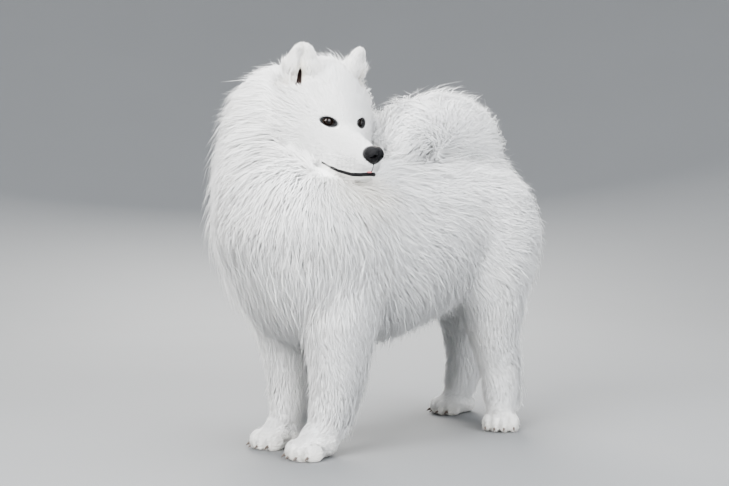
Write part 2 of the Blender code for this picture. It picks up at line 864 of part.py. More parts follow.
def coat_locks(whole):
    """All the locks of the coat, their roots evenly spread."""
    core, tips = tree_of(whole), coat_tips()
    draw = random.Random(LOCK_SEED)
    ears = [head_place() @ Vector((out * EAR_ROOT.x, EAR_ROOT.y, 0.075)) for out in SIDES.values()]
    roots, locks = [], []
    for spot, faces in spots_on(whole, LOCK_TRIES, draw):
        depth = coat_depth(tips, spot, faces)
        length = lock_length(spot, depth)
        if FEATHER_FROM < spot.z < ELBOW and faces.y > 0.7:
            depth += FEATHER
        if depth < LOCK_DEPTH or min((spot - ear).length for ear in ears) < 0.060:
            continue
        width = length * LOCK_SLIM
        if any((spot - other).length < LOCK_SPACING * (width + wide) / 2 for other, wide in roots):
            continue
        path = lock_path(core, spot, faces, length * draw.uniform(0.88, 1.18), draw.uniform(-0.30, 0.30))
        if not runs_true(path):
            continue
        grown = lock(tips, path, depth, width * draw.uniform(0.88, 1.12))
        if crosses_itself(grown):
            drop(grown)
            continue
        roots.append((spot, width))
        locks.append(grown)
    return locks


def coat_tips():
    """The surface that the tips of the coat reach."""

    def fill(bm):
        body_tubes(bm, full_coat)
        start = len(bm.verts)
        head_rings(bm, HEAD_COAT)
        bm.verts.ensure_lookup_table()
        bmesh.ops.transform(bm, matrix=head_place(), verts=bm.verts[start:])

    made = fused(object_of("tips", fill), 0.009, 6, 12000)
    tree = tree_of(made)
    drop(made)
    return tree


def whole_dog():
    """Body, head, paws and locks in one closed skin that stands on the floor."""
    others = [head_skin()]
    others[0].data.transform(head_place())
    for side in SIDES:
        others.append(paw_skin(foreleg_stations(side), FORE_PAWS[side]))
        others.append(paw_skin(hindleg_stations(side), HIND_PAWS[side]))
    whole = unite(body_core(), others)
    unite(whole, coat_locks(whole))
    under = box("under", (-1, -1, -1), (1, 1, 0))
    boolean(whole, under, "DIFFERENCE")
    drop(under)
    return whole


def part_legs(whole, nodes):
    """Parts off the paws and the lengths of the legs, from the ground upwards."""
    for side, out in SIDES.items():
        x, y, _ = FORE_PAWS[side]
        near, far = sorted((out * 0.030, out * 0.200))
        name = f"forepaw_{side}"
        nodes[name] = part_off_box(whole, name, (x - 0.07, y - 0.10, -0.01), (x + 0.07, y + 0.12, WRIST))
        name = f"forearm_{side}"
        nodes[name] = part_off_box(whole, name, (near, -0.42, WRIST), (far, -0.11, ELBOW))
        x, y, _ = HIND_PAWS[side]
        near, far = sorted((out * GAP, out * 0.250))
        name = f"hindpaw_{side}"
        nodes[name] = part_off_box(whole, name, (x - 0.07, y - 0.10, -0.01), (x + 0.07, y + 0.12, HOCK))
        name = f"shank_{side}"
        nodes[name] = part_off_box(whole, name, (near, 0.10, HOCK), (far, 0.55, KNEE))
        name = f"thigh_{side}"
        nodes[name] = part_off_box(whole, name, (near, 0.10, KNEE), (far, 0.55, HIP))


def face_work(head, nodes):
    """Eyes, nose, jaw and ears, made in the head's own frame."""
    place = head_place()
    head.data.transform(place.inverted())
    pieces = {f"ear_{side}": ear(f"ear_{side}", out) for side, out in SIDES.items()}
    for made in pieces.values():
        cut_clear(made, head)
    pieces.update(head_pieces(head))
    for made in (head, *pieces.values()):
        made.data.transform(place)
    nodes.update(pieces)


def set_claws(nodes):
    """Four claws on each paw, each in a socket of its own."""
    for side in SIDES:
        for paws, name in ((FORE_PAWS, "forepaw"), (HIND_PAWS, "hindpaw")):
            paw = nodes[f"{name}_{side}"]
            for at, (share, toe) in enumerate(toe_spots()):
                label = f"claw_{name}_{side}_{at + 1}"
                nodes[label] = claw(label, paws[side], share, toe)
                cut_clear(paw, nodes[label])


def finish_nodes(nodes):
    """Gives each node its finish, and sets the origin under the middle of the dog's box."""
    finishes = {
        "coat": material("coat", (0.86, 0.85, 0.82), 0.85),
        "eye": material("eye", (0.025, 0.016, 0.012), 0.15),
        "nose": material("nose", (0.018, 0.018, 0.022), 0.35),
        "claw": material("claw", (0.09, 0.075, 0.065), 0.45),
    }
    corners = [vert.co for made in nodes.values() for vert in made.data.vertices]
    low = Vector(min(corner[axis] for corner in corners) for axis in range(3))
    high = Vector(max(corner[axis] for corner in corners) for axis in range(3))
    shift = Matrix.Translation((-(low.x + high.x) / 2, -(low.y + high.y) / 2, 0))
    for name, made in nodes.items():
        made.data.transform(shift)
        made.data.materials.clear()
        made.data.materials.append(finishes.get(name.split("_")[0], finishes["coat"]))


def main():
    for found in list(bpy.data.objects):
        bpy.data.objects.remove(found)
    whole = whole_dog()
    nodes = {}
    part_legs(whole, nodes)
    nodes["tail"] = part_off_beyond(whole, "tail", TAIL_SEAT, TAIL_SEAT_FACES, 0.56)
    nodes["head"] = part_off(whole, "head", head_room("room", 0), head_room("wide_room", GAP))
    nodes["neck"] = part_off_beyond(whole, "neck", NECK_FOOT, NECK_FOOT_FACES)
    whole.name = "torso"
    nodes["torso"] = whole
    face_work(nodes["head"], nodes)
    set_claws(nodes)
    finish_nodes(nodes)


main()
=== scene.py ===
"""Dresses a life-size standing Samoyed: skin, eyes, nose, lips, claws, whiskers and a coat of tufts.

Metres, +Z up. The dog faces -Y, its left side is +X, and its head is turned to its left.
"""

import itertools
import json
import math

import bmesh
import bpy
import numpy as np
from mathutils import Matrix, Vector
from mathutils.bvhtree import BVHTree
from mathutils.kdtree import KDTree

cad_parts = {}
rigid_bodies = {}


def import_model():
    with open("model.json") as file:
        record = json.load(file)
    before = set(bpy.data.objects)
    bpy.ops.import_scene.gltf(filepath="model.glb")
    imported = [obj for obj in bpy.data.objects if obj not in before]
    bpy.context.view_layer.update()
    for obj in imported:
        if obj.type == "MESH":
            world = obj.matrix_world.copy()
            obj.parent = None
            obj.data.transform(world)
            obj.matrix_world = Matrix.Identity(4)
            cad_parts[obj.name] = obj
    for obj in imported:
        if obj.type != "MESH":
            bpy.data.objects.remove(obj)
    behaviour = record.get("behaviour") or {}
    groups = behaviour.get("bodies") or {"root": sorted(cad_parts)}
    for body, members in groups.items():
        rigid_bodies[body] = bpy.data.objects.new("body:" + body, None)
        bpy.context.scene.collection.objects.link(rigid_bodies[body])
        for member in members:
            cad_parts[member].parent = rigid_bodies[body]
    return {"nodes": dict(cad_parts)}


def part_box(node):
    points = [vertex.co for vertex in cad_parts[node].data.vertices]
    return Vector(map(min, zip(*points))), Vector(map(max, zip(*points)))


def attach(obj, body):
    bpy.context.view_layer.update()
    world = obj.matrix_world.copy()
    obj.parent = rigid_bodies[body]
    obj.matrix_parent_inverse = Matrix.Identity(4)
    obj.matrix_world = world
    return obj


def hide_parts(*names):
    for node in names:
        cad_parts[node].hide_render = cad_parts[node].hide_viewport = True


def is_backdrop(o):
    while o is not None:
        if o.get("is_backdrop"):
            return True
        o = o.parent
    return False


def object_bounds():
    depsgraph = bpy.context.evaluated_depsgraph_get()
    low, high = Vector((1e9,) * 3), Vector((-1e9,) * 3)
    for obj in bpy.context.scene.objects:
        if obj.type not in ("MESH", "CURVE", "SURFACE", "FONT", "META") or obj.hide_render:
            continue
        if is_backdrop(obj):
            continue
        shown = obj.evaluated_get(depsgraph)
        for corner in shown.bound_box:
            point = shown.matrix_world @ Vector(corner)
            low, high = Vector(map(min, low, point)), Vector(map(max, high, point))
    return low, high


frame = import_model()
solid_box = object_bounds()

bl_info = {
    "name": "Samoyed",
    "version": (1, 0, 0),
    "blender": (4, 5, 0),
    "location": "3D View > Sidebar > Samoyed",
    "description": "Builds the skin, face and coat of a standing Samoyed round its solids",
    "category": "Object",
}

SIDES = {"left": 1, "right": -1}

# The head's own frame faces -Y, and its origin is midway between the eyes
EYE_MIDDLE = Vector((0.100, -0.220, 0.652))
HEAD_TURN = math.radians(85)
HEAD_NOD = math.radians(11)

# Where each paw stands, and how many degrees it is turned out
FORE_PAWS = {"left": (0.072, -0.289, 4), "right": (-0.068, -0.263, -4)}
HIND_PAWS = {"left": (0.116, 0.231, 34), "right": (-0.116, 0.317, -8)}
HEELS = {"left": (0.100, 0.242), "right": (-0.110, 0.362)}
PAW_LENGTH = 0.092
PAW_WIDTH = 0.076

# Stations of the body: x, y, z, half width, half depth, length of the coat
TRUNK = [
    (0, -0.372, 0.410, 0.030, 0.045, 0.034),
    (0, -0.335, 0.415, 0.075, 0.085, 0.060),
    (0, -0.270, 0.420, 0.108, 0.120, 0.070),
    (0, -0.170, 0.418, 0.126, 0.142, 0.064),
    (0, -0.050, 0.415, 0.132, 0.138, 0.058),
    (0, 0.050, 0.430, 0.124, 0.122, 0.056),
    (0, 0.140, 0.448, 0.110, 0.104, 0.056),
    (0, 0.230, 0.450, 0.104, 0.098, 0.060),
    (0, 0.305, 0.445, 0.082, 0.084, 0.066),
    (0, 0.358, 0.440, 0.042, 0.050, 0.044),
]
NECK = [
    (0, -0.200, 0.246, 0.050, 0.062, 0.044),
    (0, -0.198, 0.272, 0.082, 0.100, 0.056),
    (0, -0.196, 0.305, 0.096, 0.112, 0.064),
    (0, -0.197, 0.345, 0.108, 0.122, 0.070),
    (0, -0.202, 0.400, 0.115, 0.132, 0.080),
    (0, -0.212, 0.460, 0.114, 0.148, 0.086),
    (-0.008, -0.219, 0.508, 0.082, 0.138, 0.086),
    (-0.040, -0.223, 0.545, 0.046, 0.126, 0.084),
    (-0.056, -0.225, 0.580, 0.028, 0.118, 0.082),
    (-0.060, -0.227, 0.620, 0.022, 0.104, 0.080),
    (-0.058, -0.228, 0.660, 0.026, 0.090, 0.074),
    (-0.054, -0.228, 0.700, 0.036, 0.084, 0.066),
    (-0.048, -0.228, 0.726, 0.036, 0.078, 0.054),
    (-0.042, -0.228, 0.743, 0.032, 0.054, 0.040),
    (-0.030, -0.228, 0.758, 0.022, 0.034, 0.026),
]
TAIL = [
    (0, 0.235, 0.500, 0.034, 0.034, 0.030),
    (0, 0.262, 0.555, 0.026, 0.026, 0.044),
    (0.004, 0.262, 0.600, 0.024, 0.022, 0.052),
    (0.010, 0.234, 0.634, 0.022, 0.020, 0.056),
    (0.020, 0.180, 0.648, 0.020, 0.018, 0.056),
    (0.032, 0.110, 0.648, 0.018, 0.016, 0.058),
    (0.044, 0.040, 0.644, 0.016, 0.014, 0.058),
    (0.056, -0.032, 0.634, 0.014, 0.013, 0.056),
    (0.074, -0.064, 0.610, 0.011, 0.011, 0.048),
    (0.086, -0.068, 0.580, 0.008, 0.008, 0.038),
]

# The head, in its own frame: place along it, half width, lowest, highest, narrowing towards the top
HEAD = [
    (-0.1025, 0.015, -0.074, -0.050, 0.00),
    (-0.0960, 0.0225, -0.086, -0.037, 0.02),
    (-0.0800, 0.0300, -0.1030, -0.0275, 0.06),
    (-0.0550, 0.0365, -0.1075, -0.0200, 0.10),
    (-0.0320, 0.0430, -0.1075, -0.0125, 0.14),
    (-0.0140, 0.0535, -0.1070, 0.0000, 0.16),
    (0.0000, 0.0660, -0.1065, 0.0280, 0.16),
    (0.0150, 0.0800, -0.1065, 0.0640, 0.16),
    (0.0350, 0.0950, -0.1070, 0.0970, 0.18),
    (0.0600, 0.1070, -0.1080, 0.1180, 0.20),
    (0.0900, 0.1100, -0.1090, 0.1220, 0.18),
    (0.1250, 0.1020, -0.1100, 0.1120, 0.12),
    (0.1500, 0.0700, -0.0800, 0.0800, 0.08),
]
# Brow, cheekbone and pad of the muzzle on each side: middle, and radii
FACE_SIDES = [
    ((0.0300, 0.0085, 0.0170), (0.019, 0.010, 0.007)),
    ((0.0420, 0.0090, -0.0290), (0.022, 0.017, 0.016)),
    ((0.0120, -0.0760, -0.0650), (0.0180, 0.0200, 0.0180)),
]
HEAD_COAT = 0.018
FACE_COAT = 0.0016
EYE_OUT = 0.0350
EYE_DEEP = 0.0105
EYE_RADIUS = 0.0130
IRIS_EDGE = math.radians(42)
CORNEA_BULGE = 0.035
EYE_TURN = math.radians(22)
EYE_SLANT = math.radians(9)
LID_THICK = 0.0028
LID_HALF_LONG = 0.0150
LID_HALF_TALL = 0.0080
NOSE_AT = Vector((0, -0.100, -0.0445))
NOSE_RADII = (0.0208, 0.0178, 0.0178)
# The hole and the slit of a nostril: place from the middle of the nose, and radii
NOSTRIL = [
    ((0.0092, -0.0160, -0.0022), (0.0043, 0.0085, 0.0030)),
    ((0.0150, -0.0135, -0.0050), (0.0046, 0.0060, 0.0014)),
]
# The line of the mouth from its corner forward: place along the head, and height
MOUTH_LINE = [(-0.009, -0.0765), (-0.022, -0.0825), (-0.040, -0.0875), (-0.072, -0.0890), (-0.088, -0.0865),
              (-0.125, -0.0740)]
EAR_ROOT = Vector((0.062, 0.068, 0.062))
EAR_TIP = Vector((0.0680, 0.0590, 0.141))
EAR_WIDTH = 0.078
EAR_DEPTH = 0.029
EAR_TURN = math.radians(28)
# Where the ear's groove runs, as a share of its half width
GROOVE = 0.20

# The middle of the tail's plume
PLUME = (0.05, 0.091, 0.600)

# How fine each modelled skin is
BODY_VOXEL = 0.0055
HEAD_VOXEL = 0.0020
PAW_VOXEL = 0.0026
TIPS_VOXEL = 0.009

# Stands for any distance too long to matter
FAR = 9.0

# How many times the fold between head and neck is smoothed
NAPE_EASE = 240

# A tuft's patch on the unwrap, and how many triangles one piece of the coat may have
PATCH = 0.003
MOST_TRIANGLES = 190000

# Share of the tufts that stand out of the others
STRAYS = 0.07

# The most that the tips of the coat are taken to stand off the skin
MOST_DEPTH = 0.075

# How far above and below the line of the mouth no hair grows
LIP_CLEAR = 0.0056

# Half the thickness of the lips in their middle and of the line from them up to the nose, and how far the
# lips stand above the line of the mouth
LIP_THICK = 0.0041
PHILTRUM_THICK = 0.0011
LIP_RISE = 0.0002

# Along a claw: how far ahead and how far down its middle lies, and half its thickness
CLAW_BEND = [
    (-0.004, -0.001, 0.0028),
    (0, 0, 0.0031),
    (0.0030, 0.0004, 0.0029),
    (0.0060, 0.0014, 0.0024),
    (0.0085, 0.0030, 0.0016),
    (0.0102, 0.0048, 0.0007),
]

# Along a whisker: share of its length, and half its thickness
WHISKER_TAPER = {0: 0.00018, 0.2: 0.00017, 0.45: 0.00014, 0.7: 0.00010, 1: 0.00004}

# Colour of the dots at the whisker roots and of the painted shade below the nose, and how strongly it shows
DOT_AND_SHADE_GREY = (0.16, 0.16, 0.17)
DOT_AND_SHADE_SHARE = 0.75


class DogCoat(bpy.types.PropertyGroup):
    """How the coat grows."""

    undercoat: bpy.props.FloatProperty(
        name="Undercoat", description="Share of the coat's depth that the skin carries as dense undercoat",
        default=0.58, min=0, max=0.9, subtype="FACTOR")
    fullness: bpy.props.FloatProperty(
        name="Fullness", description="Number of tufts, as a share of the full coat",
        default=1, min=0.02, max=1.1, subtype="FACTOR")
    clumping: bpy.props.FloatProperty(
        name="Clumping", description="How strongly the tips of neighbouring tufts draw together",
        default=1, min=0, max=2, subtype="FACTOR")
    seed: bpy.props.IntProperty(name="Seed", description="Start of the random draws", default=7, min=0)


class DogColours(bpy.types.PropertyGroup):
    """Colours of the coat, skin and face."""

    coat: bpy.props.FloatVectorProperty(
        name="Coat", description="Main colour of the coat", default=(0.93, 0.93, 0.925), subtype="COLOR")
    # Cream tint on the ears, muzzle and feet, also painted under the chin as the chin's shadow
    cream: bpy.props.FloatVectorProperty(
        name="Cream", description="Warm tint round the ears, under the chin and on the feet",
        default=(0.90, 0.855, 0.76), subtype="COLOR")
    leather: bpy.props.FloatVectorProperty(
        name="Leather", description="Nose, lips and rims of the eyes",
        default=(0.002, 0.002, 0.0025), subtype="COLOR")
    iris: bpy.props.FloatVectorProperty(
        name="Iris", description="Colour of the iris", default=(0.006, 0.003, 0.002), subtype="COLOR")
    # Near black: the bare skin of the ear grooves painted with the shade that falls in them
    inner_ear_shade: bpy.props.FloatVectorProperty(
        name="Inner ear", description="Bare skin in the grooves of the ears",
        default=(0.012, 0.006, 0.005), subtype="COLOR")


class DogStudio(bpy.types.PropertyGroup):
    """Camera and floor."""

    lens: bpy.props.FloatProperty(
        name="Lens", description="Focal length in millimetres on a sensor 36 mm wide",
        default=69.14, min=20, max=200)
    turn: bpy.props.FloatProperty(
        name="Turn", description="Direction of the camera round the dog",
        default=math.radians(46.2), subtype="ANGLE", unit="ROTATION")
    tilt: bpy.props.FloatProperty(
        name="Tilt", description="How far the camera looks down",
        default=math.radians(2.25), subtype="ANGLE", unit="ROTATION")
    place: bpy.props.FloatVectorProperty(
        name="Place", description="Where the camera stands, in the frame of the stations",
        default=(2.0933, -2.0778, 0.525), subtype="TRANSLATION", unit="LENGTH")
    floor: bpy.props.FloatVectorProperty(
        name="Floor", description="Colour of the floor", default=(0.20, 0.205, 0.21), subtype="COLOR")


def head_place():
    """Where the head's own frame stands on the dog."""
    turn = Matrix.Rotation(HEAD_TURN, 4, "Z") @ Matrix.Rotation(HEAD_NOD, 4, "X")
    return Matrix.Translation(EYE_MIDDLE) @ turn


def eye_middle(out):
    """The middle of one eyeball, in the head's frame."""
    return Vector((out * EYE_OUT, EYE_DEEP, 0))


def solids_shift():
    """How far the solids stand from the frame of the stations."""
    low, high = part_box("eye_left")
    return (Vector(low) + Vector(high)) / 2 - head_place() @ eye_middle(1)


SHIFT = solids_shift()


def placed(name, data):
    """A new object in the scene."""
    made = bpy.data.objects.new(name, data)
    bpy.context.scene.collection.objects.link(made)
    return made


def object_of(name, fill):
    """A new object whose mesh a function fills in."""
    bm = bmesh.new()
    fill(bm)
    bmesh.ops.recalc_face_normals(bm, faces=bm.faces)
    mesh = bpy.data.meshes.new(name)
    bm.to_mesh(mesh)
    bm.free()
    return placed(name, mesh)


def head_piece(name, fill):
    """A new object that a function fills in, made in the head's own frame."""
    made = object_of(name, fill)
    made.data.transform(head_place())
    return made


def bake(made):
    """Turns an object's modifiers into its mesh."""
    graph = bpy.context.evaluated_depsgraph_get()
    mesh = bpy.data.meshes.new_from_object(made.evaluated_get(graph))
    made.modifiers.clear()
    made.data = mesh
    return made


def drop(*helpers):
    """Removes helper objects."""
    for helper in helpers:
        bpy.data.objects.remove(helper)


def finish_piece(made, material, name, slot, *nodes):
    """Moves a piece from the frame of the stations onto the solids, and says what it is."""
    made.name = name
    made.data.materials.clear()
    made.data.materials.append(material)
    made.data.transform(Matrix.Translation(SHIFT))
    if not made.data.has_custom_normals:
        made.data.shade_smooth()
    if nodes:
        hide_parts(*nodes)
    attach(made, "root")
    return made


def join_rings(bm, first, second):
    """A band of faces between two rings."""
    for step in range(len(first)):
        after = (step + 1) % len(first)
        bm.faces.new((first[step], first[after], second[after], second[step]))


def turns(sides):
    """The angles of one round in equal steps."""
    return (2 * math.pi * step / sides for step in range(sides))


def ring_points(middle, across, wide, rise, tall, sides):
    """Points round a middle on an ellipse."""
    return [middle + (across * (wide * math.cos(turn)) + rise * (tall * math.sin(turn)))
            for turn in turns(sides)]


def close_tube(bm, rings):
    """A closed tube through rings of points."""
    rings = [[bm.verts.new(point) for point in ring] for ring in rings]
    for first, second in zip(rings, rings[1:]):
        join_rings(bm, first, second)
    bm.faces.new(rings[0])
    bm.faces.new(rings[-1])


def with_ways(points):
    """Each of a row of points, with the way that the row runs there."""
    for at, point in enumerate(points):
        run = points[min(at + 1, len(points) - 1)] - points[max(at - 1, 0)]
        yield point, run.normalized()


def tube(bm, stations, carried, sides):
    """A closed tube through stations, as thick as the body and a share of its coat."""
    middles = [Vector(station[:3]) for station in stations]
    rings = []
    for (middle, along), (*_, half_width, half_depth, coat) in zip(with_ways(middles), stations):
        deep = along.cross(Vector((1, 0, 0))).normalized()
        across = deep.cross(along).normalized()
        fur = carried * coat
        rings.append(ring_points(middle, across, half_width + fur, deep, half_depth + fur, sides))
    close_tube(bm, rings)


def swept(bm, points, thicks, sides=10, up=Vector((0, 0, 1))):
    """A closed roll along points, as thick at each as is given."""
    rings = []
    for (point, along), thick in zip(with_ways(points), thicks):
        out = along.cross(up).normalized()
        rings.append(ring_points(point, out, thick, out.cross(along), thick, sides))
    close_tube(bm, rings)


def ball(bm, middle, radii, turn=None, rows=20):
    """An ellipsoid, turned by a matrix."""
    turn = turn or Matrix.Identity(4)
    place = Matrix.Translation(middle) @ turn @ Matrix.Diagonal((*radii, 1))
    bmesh.ops.create_uvsphere(bm, u_segments=2 * rows - 4, v_segments=rows, radius=1, matrix=place)


def read(data, what, width, kind=float):
    """One property of many elements as an array."""
    values = np.empty(len(data) * width, dtype=np.float32 if kind is float else np.int32)
    data.foreach_get(what, values)
    return values.reshape(-1, width).astype(kind)


def move_to(mesh, places):
    """Moves the corners of a mesh."""
    mesh.vertices.foreach_set("co", places.ravel())
    mesh.update()


def carry(mesh, name, values):
    """Writes one value for each corner into a mesh, for its finish to read."""
    mesh.attributes.new(name, "FLOAT", "POINT").data.foreach_set("value", values.astype(np.float32))


def relaxed(made, times):
    """The same skin of quads, each corner moved half way towards its neighbours, some times over."""
    places = read(made.data.vertices, "co", 3)
    corners = read(made.data.polygons, "vertices", 4, int)
    start = corners.ravel()
    end = np.roll(corners, -1, axis=1).ravel()
    found = np.bincount(start) + np.bincount(end)
    for _ in range(times):
        for axis in range(3):
            along = places[:, axis]
            total = np.bincount(start, along[end]) + np.bincount(end, along[start])
            places[:, axis] = (along + total / found) / 2
    move_to(made.data, places)
    return made


def fused(made, voxel, smooth):
    """Melts overlapping shapes into one smooth skin."""
    remesh = made.modifiers.new("melt", "REMESH")
    remesh.mode = "VOXEL"
    remesh.voxel_size = voxel
    return relaxed(bake(made), smooth)


def combined(made, others, operation):
    """One Boolean of an object with others, which are then removed."""
    for other in others:
        step = made.modifiers.new(operation, "BOOLEAN")
        step.operation = operation
        step.object = other
        step.solver = "MANIFOLD"
        bake(made)
    drop(*others)
    return made


def foreleg_stations(side):
    """The foreleg from the shoulder to inside the paw."""
    x, y, _ = FORE_PAWS[side]
    out = SIDES[side]
    back = y + 0.057
    return [
        (out * 0.080, -0.200, 0.440, 0.050, 0.070, 0.040),
        (out * 0.088, -0.205, 0.330, 0.042, 0.056, 0.036),
        (x + out * 0.020, back + 0.004, 0.250, 0.032, 0.044, 0.034),
        (x + out * 0.014, back + 0.003, 0.170, 0.026, 0.034, 0.028),
        (x + out * 0.008, back - 0.002, 0.110, 0.023, 0.028, 0.018),
        (x + out * 0.003, back - 0.010, 0.070, 0.023, 0.026, 0.011),
        (x, back - 0.018, 0.030, 0.023, 0.025, 0.008),
    ]


def hindleg_stations(side):
    """The hind leg from the hip over the stifle to the hock, and down inside the paw."""
    x, y, _ = HIND_PAWS[side]
    heel_x, heel_y = HEELS[side]
    out = SIDES[side]
    back = heel_y - HEELS["left"][1]
    return [
        (out * 0.060, 0.222 + back * 0.1, 0.500, 0.048, 0.086, 0.052),
        (out * 0.082, 0.225 + back * 0.3, 0.410, 0.054, 0.088, 0.052),
        (out * 0.090, 0.220 + back * 0.75, 0.330, 0.048, 0.070, 0.044),
        (out * 0.098, 0.222 + back * 1.05, 0.262, 0.035, 0.044, 0.032),
        (heel_x, 0.222 + back * 1.12, 0.200, 0.024, 0.031, 0.026),
        (heel_x, heel_y, 0.132, 0.021, 0.028, 0.017),
        (heel_x * 0.7 + x * 0.3, heel_y * 0.7 + y * 0.3, 0.080, 0.019, 0.022, 0.014),
        (heel_x * 0.5 + x * 0.5, heel_y * 0.5 + y * 0.5, 0.030, 0.021, 0.023, 0.009),
    ]


def body_tubes(bm, carried):
    """Trunk, neck, tail and legs as tubes that run into one another."""
    tube(bm, TRUNK, carried, 48)
    tube(bm, NECK, carried, 48)
    tube(bm, TAIL, carried, 28)
    ball(bm, (0.012, 0.095, 0.590), (0.040 + 0.010 * carried, 0.125, 0.036 + 0.010 * carried))
    for side in SIDES:
        tube(bm, foreleg_stations(side), carried, 28)
        tube(bm, hindleg_stations(side), carried, 28)


def paw_place(spot):
    """The frame of a paw: it points along -Y, turned out a little."""
    x, y, turn = spot
    return Matrix.Translation((x, y, 0)) @ Matrix.Rotation(math.radians(turn), 4, "Z")


def toe_spots():
    """For each toe its share from the middle, and where its middle lies in the paw's frame."""
    for share in (-1.5, -0.5, 0.5, 1.5):
        ahead = PAW_LENGTH * (0.27 if abs(share) < 1 else 0.17)
        yield share, Vector((share * PAW_WIDTH * 0.25, -ahead, 0.015))


def paw_skin(leg, spot):
    """A paw with four toes, joined to the lower end of its leg, a little inside its short fur."""
    place = paw_place(spot)
    turn = place.to_3x3().to_4x4()
    fur = 0.0022

    def fill(bm):
        for middle, wide, long, tall in (
            ((0, 0.008, 0.022), PAW_WIDTH * 0.43 - fur, PAW_LENGTH * 0.42 - fur, 0.025),
            ((0, 0.014, 0.036), PAW_WIDTH * 0.34 - fur, PAW_LENGTH * 0.30 - fur, 0.028),
            ((0, 0.036, 0.021), PAW_WIDTH * 0.36, PAW_LENGTH * 0.34, 0.0205),
        ):
            ball(bm, place @ Vector(middle), (wide, long, tall), turn)
        for share, middle in toe_spots():
            splay = turn @ Matrix.Rotation(math.radians(-share * 9), 4, "Z")
            ball(bm, place @ middle, (PAW_WIDTH * 0.147 - fur, PAW_LENGTH * 0.25 - fur, 0.0180), splay)
        tube(bm, leg[-3:], bpy.context.scene.dog_coat.undercoat, 28)

    return fused(object_of("paw_skin", fill), PAW_VOXEL, 3)


def head_rings(bm, front_bare, back_bare, sides=64):
    """Skull, cheeks and muzzle as one tube, bare of some depth of coat on the face and towards the nape."""
    rings = []
    for y, half_width, low, high, narrowing in HEAD:
        share = min(max((y - 0.005) / 0.040, 0), 1)
        bare = front_bare + (back_bare - front_bare) * share
        middle, half_height = (low + high) / 2, (high - low) / 2 - bare
        ring = []
        for turn in turns(sides):
            x = (half_width - bare) * math.cos(turn) * (1 - narrowing * math.sin(turn))
            ring.append((x, y, middle + half_height * math.sin(turn)))
        rings.append(ring)
    close_tube(bm, rings)


def eye_axes(out):
    """Which way one eye looks, and the directions along and across its lids."""
    axis = Vector((out * math.sin(EYE_TURN), -math.cos(EYE_TURN), 0.05)).normalized()
    across = Vector((0, 0, 1)).cross(axis).normalized() * out
    rise = axis.cross(across) * out
    outward = across * math.cos(EYE_SLANT) + rise * math.sin(EYE_SLANT)
    upward = rise * math.cos(EYE_SLANT) - across * math.sin(EYE_SLANT)
    return axis, outward, upward


def lid_edge(out, share, flare=1.0):
    """A point on the edge of the lids, going round once from the outer corner."""
    _, outward, upward = eye_axes(out)
    turn = 2 * math.pi * share
    long = LID_HALF_LONG * math.cos(turn)
    tall = LID_HALF_TALL * math.sin(turn) * abs(math.sin(turn)) ** 0.6
    return (outward * long + upward * tall) * flare


def eye_opening(out, steps=40):
    """The room between the lids: an almond in front of the eye whose outer corner is the higher."""
    axis, _, _ = eye_axes(out)

    def fill(bm):
        rings = []
        for depth, flare in ((0.55, 0.86), (1.35, 1.0), (2.2, 1.5)):
            middle = eye_middle(out) + axis * (EYE_RADIUS * depth)
            rings.append([middle + lid_edge(out, step / steps, flare) for step in range(steps)])
        close_tube(bm, rings)

    return object_of("opening", fill)


def ear_shape(bm, out):
    """A thick ear with a rounded tip and a cup that opens forward and outward."""
    upward = EAR_TIP - EAR_ROOT
    levels = [-0.35, -0.15, 0.0, 0.12, 0.25, 0.38, 0.5, 0.61, 0.72, 0.80, 0.88, 0.94, 0.98]
    points = 16
    turn = Matrix.Rotation(EAR_TURN, 4, "Z")
    place = Matrix.Diagonal((out, 1, 1, 1)) @ Matrix.Translation(EAR_ROOT) @ turn
    rings = []
    for level in levels:
        share = max(level, 0)
        narrow = (1 - share ** 2.0) ** 0.66
        half = EAR_WIDTH / 2 * (0.16 + 0.84 * narrow) - 0.002
        deep = EAR_DEPTH * (0.30 + 0.70 * narrow) * (1 - 0.25 * share) - 0.001
        hollow = 0.30 + 0.40 * share
        ring = []
        for step in range(points):
            angle = math.pi * step / (points - 1)
            ring.append(Vector((half * math.cos(angle), deep * math.sin(angle), 0)))
        for step in range(1, points - 1):
            across = -math.cos(math.pi * step / (points - 1))
            groove = math.exp(-((across - GROOVE) / 0.24) ** 2)
            front = hollow * groove - 0.26 * (1 - across ** 2) * (1 - groove)
            ring.append(Vector((half * 0.92 * across, deep * front, 0)))
        rings.append([place @ (point + upward * level) for point in ring])
    close_tube(bm, rings)


def head_skin():
    """Skull, cheeks, brows, muzzle and ears in one skin, with lids round openings for the eyes."""

    def fill(bm):
        head_rings(bm, FACE_COAT, HEAD_COAT * 0.8)
        for out in SIDES.values():
            for middle, radii in FACE_SIDES:
                ball(bm, (out * middle[0], *middle[1:]), [radius - FACE_COAT / 2 for radius in radii])
            ear_shape(bm, out)

    head = fused(object_of("head", fill), HEAD_VOXEL, 7)
    lids = object_of("lids", lambda bm: [ball(bm, eye_middle(out), (EYE_RADIUS + LID_THICK * 0.8,) * 3)
                                         for out in SIDES.values()])
    combined(head, [lids], "UNION")
    combined(head, [eye_opening(out) for out in SIDES.values()], "DIFFERENCE")
    head.data.transform(head_place())
    return head


def coat_tips():
    """The surface that the tips of the coat reach."""

    def fill(bm):
        body_tubes(bm, 1)
        start = len(bm.verts)
        head_rings(bm, 0, 0, 40)
        bm.verts.ensure_lookup_table()
        bmesh.ops.transform(bm, matrix=head_place(), verts=bm.verts[start:])

    return fused(object_of("tips", fill), TIPS_VOXEL, 6)


def unit(ways):
    """Directions of length one."""
    return ways / np.maximum(np.linalg.norm(ways, axis=-1, keepdims=True), 1e-9)


def ramp(values, low, high):
    """A smooth rise from 0 at one value to 1 at another."""
    share = np.clip((values - low) / (high - low), 0, 1)
    return share * share * (3 - 2 * share)


def column(values):
    """Values as a column that multiplies directions."""
    return np.asarray(values)[:, None]


def apart(points, middle, sizes=1.0):
    """How far points are from a middle, as a share of some sizes."""
    return np.linalg.norm((points - np.array(middle)) / np.array(sizes), axis=1)


